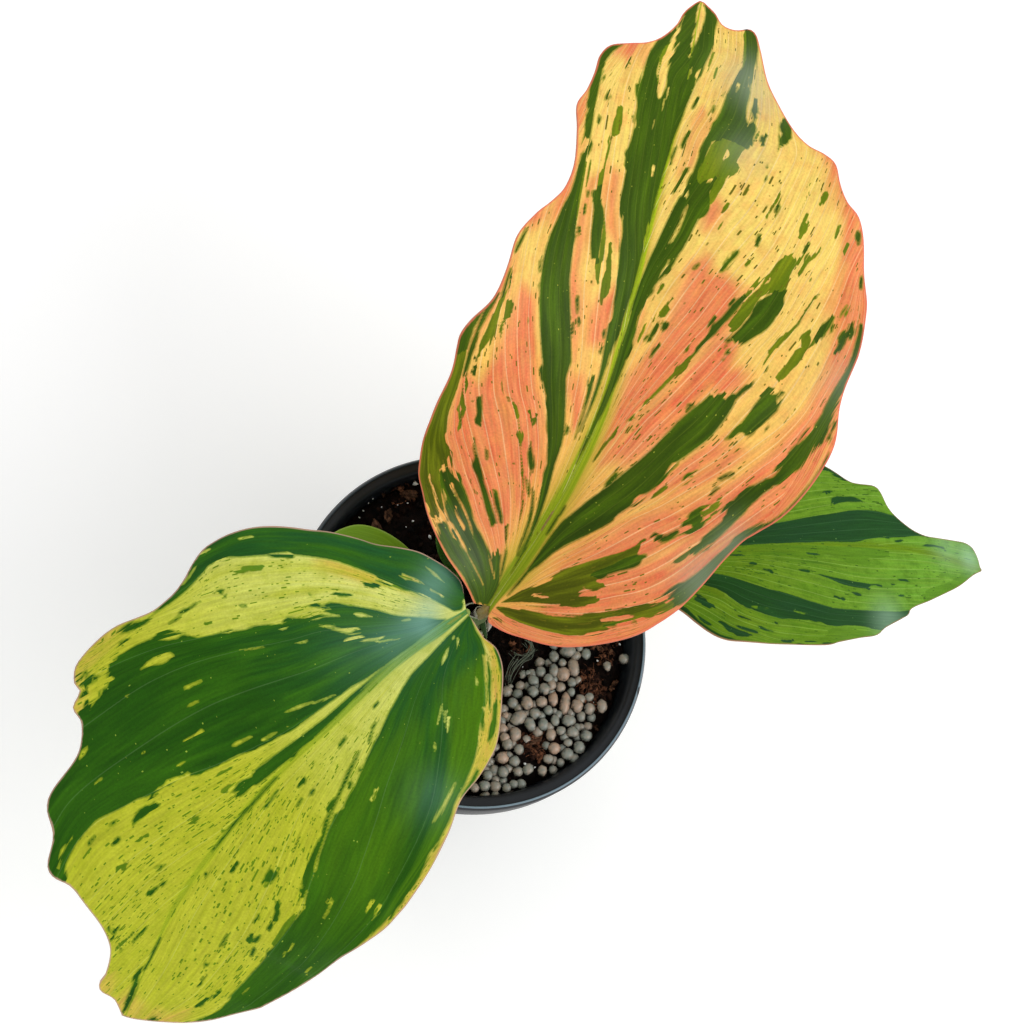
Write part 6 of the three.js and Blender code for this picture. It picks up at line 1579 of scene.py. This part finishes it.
def stem_wing(name, left, right, height, materials, slot):
    """A thin wing of sheath beside the stem: a grid laid between two lines and arched, with a
    paler free edge."""
    near, far = (curve_through([(x, y, height) for x, y in line], 40)[0] for line in (left, right))
    steps = len(near) - 1
    shares = (0, 0.2, 0.4, 0.6, 0.8, 0.94, 1)
    strips = len(shares) - 1
    bm = bmesh.new()
    bmesh.ops.create_grid(bm, x_segments=steps, y_segments=strips, size=1)
    for face in bm.faces:
        face.material_index = int(face.calc_center_median().y > 1 - 2 / strips)
    for vert in bm.verts:
        i = round((vert.co.x + 1) / 2 * steps)
        share = shares[round((vert.co.y + 1) / 2 * strips)]
        x, y, z = near[i] + (far[i] - near[i]) * share
        vert.co = (x, y, z + 0.35 * math.sin(math.pi * share) - 0.3 * share)
    piece = make_piece(name, bm, materials)
    thick = piece.modifiers.new("thickness", "SOLIDIFY")
    thick.thickness = 0.25 * MM
    dress(piece, slot)


def inner_radius(z):
    """The inside radius of the pot at a level."""
    foot = BASE_RADIUS - WALL
    return foot + (RIM_RADIUS - LIP_WIDTH - foot) * z / POT_HEIGHT


def soil_height(x, y):
    """The level of the potting mix, with its low mounds."""
    bumps = (
        math.sin(x * 0.31 + 1.3) * math.cos(y * 0.27 - 0.6)
        + 0.6 * math.sin(x * 0.43 - y * 0.37)
        + 0.4 * math.cos(x * 0.19 + y * 0.5 + 2)
    )
    return SOIL_LEVEL + SOIL_RELIEF * bumps


def make_pot(material):
    """Tapered pot with a hollow rolled lip, its edges rounded and its floor drilled for water."""
    foot, rim, top = BASE_RADIUS, RIM_RADIUS, POT_HEIGHT
    under = top - LIP_DEPTH
    skirt = rim - WALL
    wall_top = inner_radius(top - 2) + WALL
    profile = [
        (0, 0), (foot - 2, 0), (foot - 0.8, 0.15), (foot - 0.2, 0.6), (foot, 1.2),
        (foot + (wall_top - foot) * 0.5, 43), (wall_top, top - 2), (skirt - 0.2, top - 2),
        (skirt, top - 2.3), (skirt, under + 0.2), (skirt + 0.2, under), (rim - 0.25, under),
        (rim, under + 0.25), (rim, top - 0.9), (rim - 0.1, top - 0.7), (rim - 0.5, top - 0.12),
        (rim - 0.6, top), (rim - 0.95, top), (rim - 1.05, top - 0.12), (rim - 1.15, top - 0.4),
        (rim - 1.3, top - 0.5), (rim - 2.4, top - 0.55), (rim - 3.1, top - 0.7),
        (rim - 3.5, top - 1), (inner_radius(top - 2) + 0.15, top - 2),
        (inner_radius(top - 4), top - 4), (inner_radius(44), 44),
        (inner_radius(FLOOR) - 0.1, FLOOR + 0.8), (inner_radius(FLOOR) - 1, FLOOR), (0, FLOOR),
    ]
    bm = spun(profile, steps=200)
    # The mould's parting line shows as a small step in the bead
    for vert in bm.verts:
        x, y, z = vert.co
        turned = abs(math.atan2(y, x) - SEAM_ANGLE)
        if turned < 0.02 and z > top - 0.7 and math.hypot(x, y) > rim - 0.8:
            vert.co.z -= 0.35
    piece = make_piece("nursery_pot", bm, [material])
    drills = bmesh.new()
    for i in range(DRAIN_HOLES):
        angle = 2 * math.pi * i / DRAIN_HOLES
        spot = (DRAIN_CIRCLE * math.cos(angle), DRAIN_CIRCLE * math.sin(angle), 1)
        bmesh.ops.create_cone(
            drills, cap_ends=True, segments=32, radius1=DRAIN_RADIUS, radius2=DRAIN_RADIUS, depth=6,
            matrix=Matrix.Translation(spot),
        )
    drill = make_piece("drills", drills, [])
    cut = piece.modifiers.new("drain_holes", "BOOLEAN")
    cut.object = drill
    cut.operation = "DIFFERENCE"
    cut.solver = "EXACT"
    bpy.context.view_layer.update()
    cut_pot = piece.evaluated_get(bpy.context.evaluated_depsgraph_get())
    cut_mesh = bpy.data.meshes.new_from_object(cut_pot)
    piece.modifiers.clear()
    piece.data = cut_mesh
    bpy.data.objects.remove(drill)
    piece.data.set_sharp_from_angle(angle=math.radians(35))
    dress(piece, "pot_plastic", "pot")


def make_soil(material):
    """Potting mix that fills the pot, its top heaved into crumbs and pits."""
    edge = inner_radius(SOIL_LEVEL) - GAP_TO_POT
    floor = FLOOR + GAP_TO_POT
    rings = 96
    profile = [(0, floor), (inner_radius(floor) - GAP_TO_POT, floor), (edge - 0.2, SOIL_LEVEL - 1.5)]
    profile += [(edge * (1 - i / rings), SOIL_LEVEL) for i in range(rings + 1)]
    bm = spun(profile, steps=220)
    for vert in bm.verts:
        x, y, z = vert.co
        if z < SOIL_LEVEL - 1:
            continue
        away = math.hypot(x, y)
        coarse = noise.fractal(Vector((x, y, 0)) * 0.28, 0.8, 2.2, 5)
        pits = noise.noise(Vector((x, y, 5)) * 0.9)
        stem_hole = max(0, 1 - math.hypot(x - STEM[0], y - STEM[1]) / 9)
        rim = max(0, (away - edge + 2.5) / 2.5)
        vert.co.z = soil_height(x, y) + 1.1 * coarse + 0.6 * pits - 1.4 * rim - 1.5 * stem_hole
    piece = make_piece("potting_mix", bm, [material])
    dress(piece, "potting_mix", "soil")


def tinted_mesh():
    """A new mesh whose corners carry a tint."""
    bm = bmesh.new()
    return bm, bm.verts.layers.float.new("tint")


def lumpy_ball(bm, at, radii, turn, rough, seed, detail=2):
    """A ball pushed in and out by smooth noise, then stretched, turned and put in its place."""
    made = bmesh.ops.create_icosphere(bm, subdivisions=detail, radius=1)["verts"]
    for vert in made:
        push = noise.noise(vert.co * 1.6 + Vector((seed * 3.7, seed, 0)))
        vert.co *= 1 + rough * push
    shape = Matrix.Translation(at) @ Matrix.Rotation(turn, 4, "Z") @ Matrix.Diagonal((*radii, 1))
    bmesh.ops.transform(bm, matrix=shape, verts=made)
    return made


def buried_prills():
    """More prills, half buried between those on top."""
    chance = random.Random(8)
    found = []
    for _ in range(4000):
        x, y, *_ = chance.choice(PRILLS)
        x += chance.uniform(-4, 4)
        y += chance.uniform(-4, 4)
        size = chance.uniform(1.3, 1.7)
        gaps = [math.hypot(x - p[0], y - p[1]) - (p[2] + p[3]) / 2 - size for p in PRILLS]
        others = [math.hypot(x - p[0], y - p[1]) - p[2] - size for p in found]
        crowded = sum(gap < 1.4 for gap in gaps) >= 3
        if min(gaps) > -1.2 and min(others, default=9) > -0.7 and crowded:
            found.append((x, y, size, size * chance.uniform(0.85, 1), 40, chance.random() * 0.4))
        if len(found) == BURIED_PRILLS:
            break
    return found


def make_prills(material):
    """Coated fertiliser prills, each a little uneven and sunk by a different amount."""
    bm, tint = tinted_mesh()
    for i, prill in enumerate(PRILLS + buried_prills()):
        x, y, half_width, half_height, turn, warmth = prill
        low = min(half_width, half_height)
        sunk = 0.9 * (i % 3) / 3 if i < len(PRILLS) else -0.55
        at = (x, y, soil_height(x, y) + 0.45 * low + sunk)
        radii = (half_width * 1.07, half_height * 1.07, low)
        for vert in lumpy_ball(bm, at, radii, math.radians(turn), 0.16, i):
            vert[tint] = warmth
    piece = make_piece("fertiliser_prills", bm, [material])
    dress(piece, "potting_mix", "soil")


def make_bits(material_perlite, material_bark):
    """Perlite specks, and bark in torn, twisted flakes."""
    bm, tint = tinted_mesh()
    for i, (x, y, size) in enumerate(PERLITE):
        size *= 0.7
        at = (x, y, soil_height(x, y) + 0.7)
        for vert in lumpy_ball(bm, at, (size, size * 0.8, size * 0.7), i, 0.9, i + 50, 1):
            vert[tint] = (i % 4) / 4
    dress(make_piece("perlite", bm, [material_perlite]), "potting_mix", "soil")
    bm, tint = tinted_mesh()
    chance = random.Random(5)
    # Without a seed, noise_vector starts from the clock
    noise.seed_set(5)
    for i, (x, y, half_width, half_height, turn) in enumerate(BARK):
        for _ in range(4):
            place = (x + chance.gauss(0, half_width * 0.5), y + chance.gauss(0, half_height * 0.5))
            size = chance.uniform(0.3, 0.7)
            made = bmesh.ops.create_icosphere(bm, subdivisions=3, radius=1)["verts"]
            seed = chance.uniform(0, 90)
            for vert in made:
                vert.co += noise.noise_vector(vert.co * 1.1 + Vector((seed, 0, 0))) * 0.9
                vert.co += noise.noise_vector(vert.co * 3.5 + Vector((0, seed, 0))) * 0.3
            tilt = Matrix.Rotation(chance.uniform(-0.6, 0.6), 4, "X")
            at = Matrix.Translation((*place, soil_height(*place) + 0.5))
            flake = Matrix.Diagonal((half_width * size, half_height * size, 0.4, 1))
            way = Matrix.Rotation(math.radians(turn) + chance.uniform(-0.5, 0.5), 4, "Z")
            bmesh.ops.transform(bm, matrix=at @ way @ tilt @ flake, verts=made)
            shade = chance.random()
            for vert in made:
                vert[tint] = shade
    dress(make_piece("bark_flakes", bm, [material_bark]), "potting_mix", "soil")


def make_crumbs(material):
    """Small lumps of peat all over the surface."""
    chance = random.Random(11)
    bm, tint = tinted_mesh()
    edge = inner_radius(SOIL_LEVEL) - 1.5
    for i in range(CRUMBS):
        angle = chance.uniform(0, 2 * math.pi)
        away = edge * math.sqrt(chance.random())
        x, y = away * math.cos(angle), away * math.sin(angle)
        if math.hypot(x - STEM[0], y - STEM[1]) < BARE_ROUND_STEM:
            continue
        size = chance.uniform(0.3, 1.1) ** 1.5
        at = (x, y, soil_height(x, y) + 0.25)
        radii = (size, size * chance.uniform(0.6, 1), size * chance.uniform(0.5, 0.8))
        shade = chance.random() ** 2
        for vert in lumpy_ball(bm, at, radii, chance.uniform(0, 3), 0.8, i, 1):
            vert[tint] = shade
    dress(make_piece("peat_crumbs", bm, [material]), "potting_mix", "soil")


def make_fibres(material_coir, material_root):
    """Coir strands 0.25 mm thick in tufts, and the plant's own fine pale roots."""
    chance = random.Random(3)
    bm, tint = tinted_mesh()
    for (cx, cy), spread, count in COIR:
        for _ in range(count // 3):
            x = chance.gauss(cx, spread * 0.5)
            y = chance.gauss(cy, spread * 0.5)
            way = chance.uniform(0, 2 * math.pi)
            bend = chance.uniform(-0.5, 0.5)
            step = chance.uniform(0.4, 1.1)
            points = []
            for _ in range(5):
                if math.hypot(x, y) > FIBRES_WITHIN:
                    break
                lift = chance.uniform(0.3, 1.2)
                points.append((x, y, soil_height(x, y) + lift))
                way += bend + chance.uniform(-0.3, 0.3)
                x += step * math.cos(way)
                y += step * math.sin(way)
            if len(points) < 3:
                continue
            before = len(bm.verts)
            thick = chance.uniform(0.06, 0.2)
            tube(bm, points, lambda share, t=thick: t * (1 - 0.5 * share), sides=4, steps=7)
            shade = chance.random()
            bm.verts.ensure_lookup_table()
            for vert in bm.verts[before:]:
                vert[tint] = shade
        for i in range(count):
            x = chance.gauss(cx, spread * 0.45)
            y = chance.gauss(cy, spread * 0.45)
            size = chance.uniform(0.2, 0.95)
            at = (x, y, soil_height(x, y) + 0.5)
            radii = (size, size * 0.6, size * 0.5)
            shade = chance.random() ** 2
            for vert in lumpy_ball(bm, at, radii, chance.uniform(0, 3), 1.5, i, 2):
                vert[tint] = shade
    dress(make_piece("coir_fibres", bm, [material_coir]), "potting_mix", "soil")
    bm, _ = tinted_mesh()
    for path in FINE_ROOTS:
        for _ in range(5):
            dx = chance.uniform(-0.9, 0.9)
            dy = chance.uniform(-0.9, 0.9)
            thick = chance.uniform(0.05, 0.12)
            points = []
            for x, y in path:
                x += dx + chance.uniform(-0.3, 0.3)
                y += dy + chance.uniform(-0.3, 0.3)
                points.append((x, y, soil_height(x, y) + chance.uniform(0.4, 1.3)))
            tube(bm, points, lambda share, t=thick: t * (1 - 0.5 * share), sides=6, steps=24)
    dress(make_piece("fine_roots", bm, [material_root]), "rhizome")


def make_camera():
    """The photograph's angle, turned by the camera's own three axes."""
    camera = bpy.data.objects.new("camera", bpy.data.cameras.new("camera"))
    bpy.context.scene.collection.objects.link(camera)
    turn = Matrix((CAMERA_RIGHT, CAMERA_UP, CAMERA_BACK)).transposed().to_4x4()
    camera.matrix_world = Matrix.Translation(Vector(CAMERA_AT) * MM) @ turn
    camera.data.lens = LENS
    camera.data.sensor_width = SENSOR
    camera.data.clip_start = 0.01
    bpy.context.scene.camera = camera


def make_light(name, at, size, power):
    """A soft round lamp aimed at the plant, in metres and watts."""
    lamp = bpy.data.lights.new(name, "AREA")
    lamp.shape = "DISK"
    lamp.size = size
    lamp.energy = power
    holder = bpy.data.objects.new(name, lamp)
    holder.location = at
    aim = Vector(LAMP_TARGET) - Vector(at)
    holder.rotation_euler = aim.to_track_quat("-Z", "Y").to_euler()
    bpy.context.scene.collection.objects.link(holder)


def make_studio():
    """Plain pale floor, even sky light, one broad soft lamp and a smaller one behind."""
    bm = bmesh.new()
    bmesh.ops.create_grid(bm, x_segments=1, y_segments=1, size=FLOOR_HALF / MM)
    bmesh.ops.translate(bm, vec=(0, 0, -0.2), verts=bm.verts)
    material, add = new_material("matt_paper_sweep")
    paper = {"Base Color": "#FAFAFA", "Roughness": 0.9, "Emission Color": "#FFFFFF"}
    paper["Emission Strength"] = 0.2
    add("OutputMaterial", {"Surface": add("BsdfPrincipled", paper)})
    floor = make_piece("floor", bm, [material])
    world = bpy.data.worlds.new("studio")
    world.use_nodes = True
    sky = world.node_tree.nodes["Background"].inputs
    sky["Color"].default_value = (1, 1, 1, 1)
    sky["Strength"].default_value = SKY_STRENGTH
    bpy.context.scene.world = world
    bpy.context.scene.view_settings.view_transform = "Standard"
    make_light("broad_lamp", (0.85, -0.45, 0.95), size=0.9, power=6.5)
    make_light("side_lamp", (-0.6, 0.9, 0.6), size=0.5, power=1.2)


make_camera()
make_studio()

rim_skin = fleshy_stalk("leaf_margin", "#B07C62", "#C4886A", (60, 170))
for leaf in ("leaf_peach", "leaf_lime", "leaf_green"):
    blade = Blade(leaf)
    look = LOOKS[leaf]
    upper = waxy_leaf("waxy_" + leaf, look)
    lower = waxy_leaf("waxy_under_" + leaf, look, under=True)
    leaf_blade(blade, [upper, lower, rim_skin])

for leaf, look in YOUNG_LOOKS.items():
    skin = plain_leaf("waxy_" + leaf, look)
    leaf_blade(Blade(leaf), [skin, skin, skin])

for leaf, (low, high) in STALK_COLOURS.items():
    skin = fleshy_stalk("fleshy_petiole_" + leaf, low, high)
    leaf_stalk(Blade(leaf), skin)

# Painted shade: the sheaths' inner faces are a near-black brown so the hollow inside reads dark
lining = fleshy_stalk("sheath_lining_painted_shade", "#160C06", "#20120A")
rim_edge = fleshy_stalk("sheath_rim", "#B4B8A0", "#C4C8B0")
wall = fleshy_stalk("sheath_wall", "#8A9A6C", "#5E7048")
ligule = fleshy_stalk("ligule", "#B4ACA0", "#D8D0C8")
dry = papery_sheath()
for leaf in ("leaf_lime", "leaf_green"):
    stem_sheath(leaf + "_sheath", SHEATHS[leaf], [wall, lining, rim_edge], leaf, leaf)
stem_sheath("ligule", SHEATHS["ligule"], [ligule, ligule, rim_edge], "leaf_peach")
stem_sheath("papery_sheath", SHEATHS["dry_sheath"], [dry, dry, dry], "dry_sheath", "dry_sheath")
wing = fleshy_stalk("sheath_wing", "#2C4A24", "#3C5A30")
stem_wing("sheath_wing", WING_LEFT, WING_RIGHT, WING_LEVEL, [wing, rim_edge], "leaf_green")
shred = [ligule, ligule]
stem_wing("ligule_shred", SHRED_LEFT, SHRED_RIGHT, SHRED_LEVEL, shred, "leaf_peach")

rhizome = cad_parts["rhizome"].data
rhizome.materials.clear()
rhizome.materials.append(fleshy_stalk("fleshy_rhizome", "#B08A5A", "#C8A878", (50, 70)))

make_pot(moulded_plastic())
make_soil(peat())
make_crumbs(tinted("peat_crumbs", "#070504", "#2A1810", 0.9, 900.0, 0.0005))
# The prills get painted shade on their lower sides
make_prills(tinted("coated_fertiliser", "#858A80", "#B89880", 0.27, 900.0, 0.0002, "#12100C"))
make_bits(
    tinted("expanded_perlite", "#D8D8D4", "#F0F0EC", 0.8, 2500.0, 0.0004),
    tinted("pine_bark", "#20120A", "#6C4C38", 0.8, 900.0, 0.0006),
)
make_fibres(
    tinted("coir_fibre", "#1E0E08", "#7C5038", 0.8, 1500.0, 0.0001),
    tinted("root_skin", "#6C7464", "#98A08C", 0.5, 1500.0, 0.0001),
)
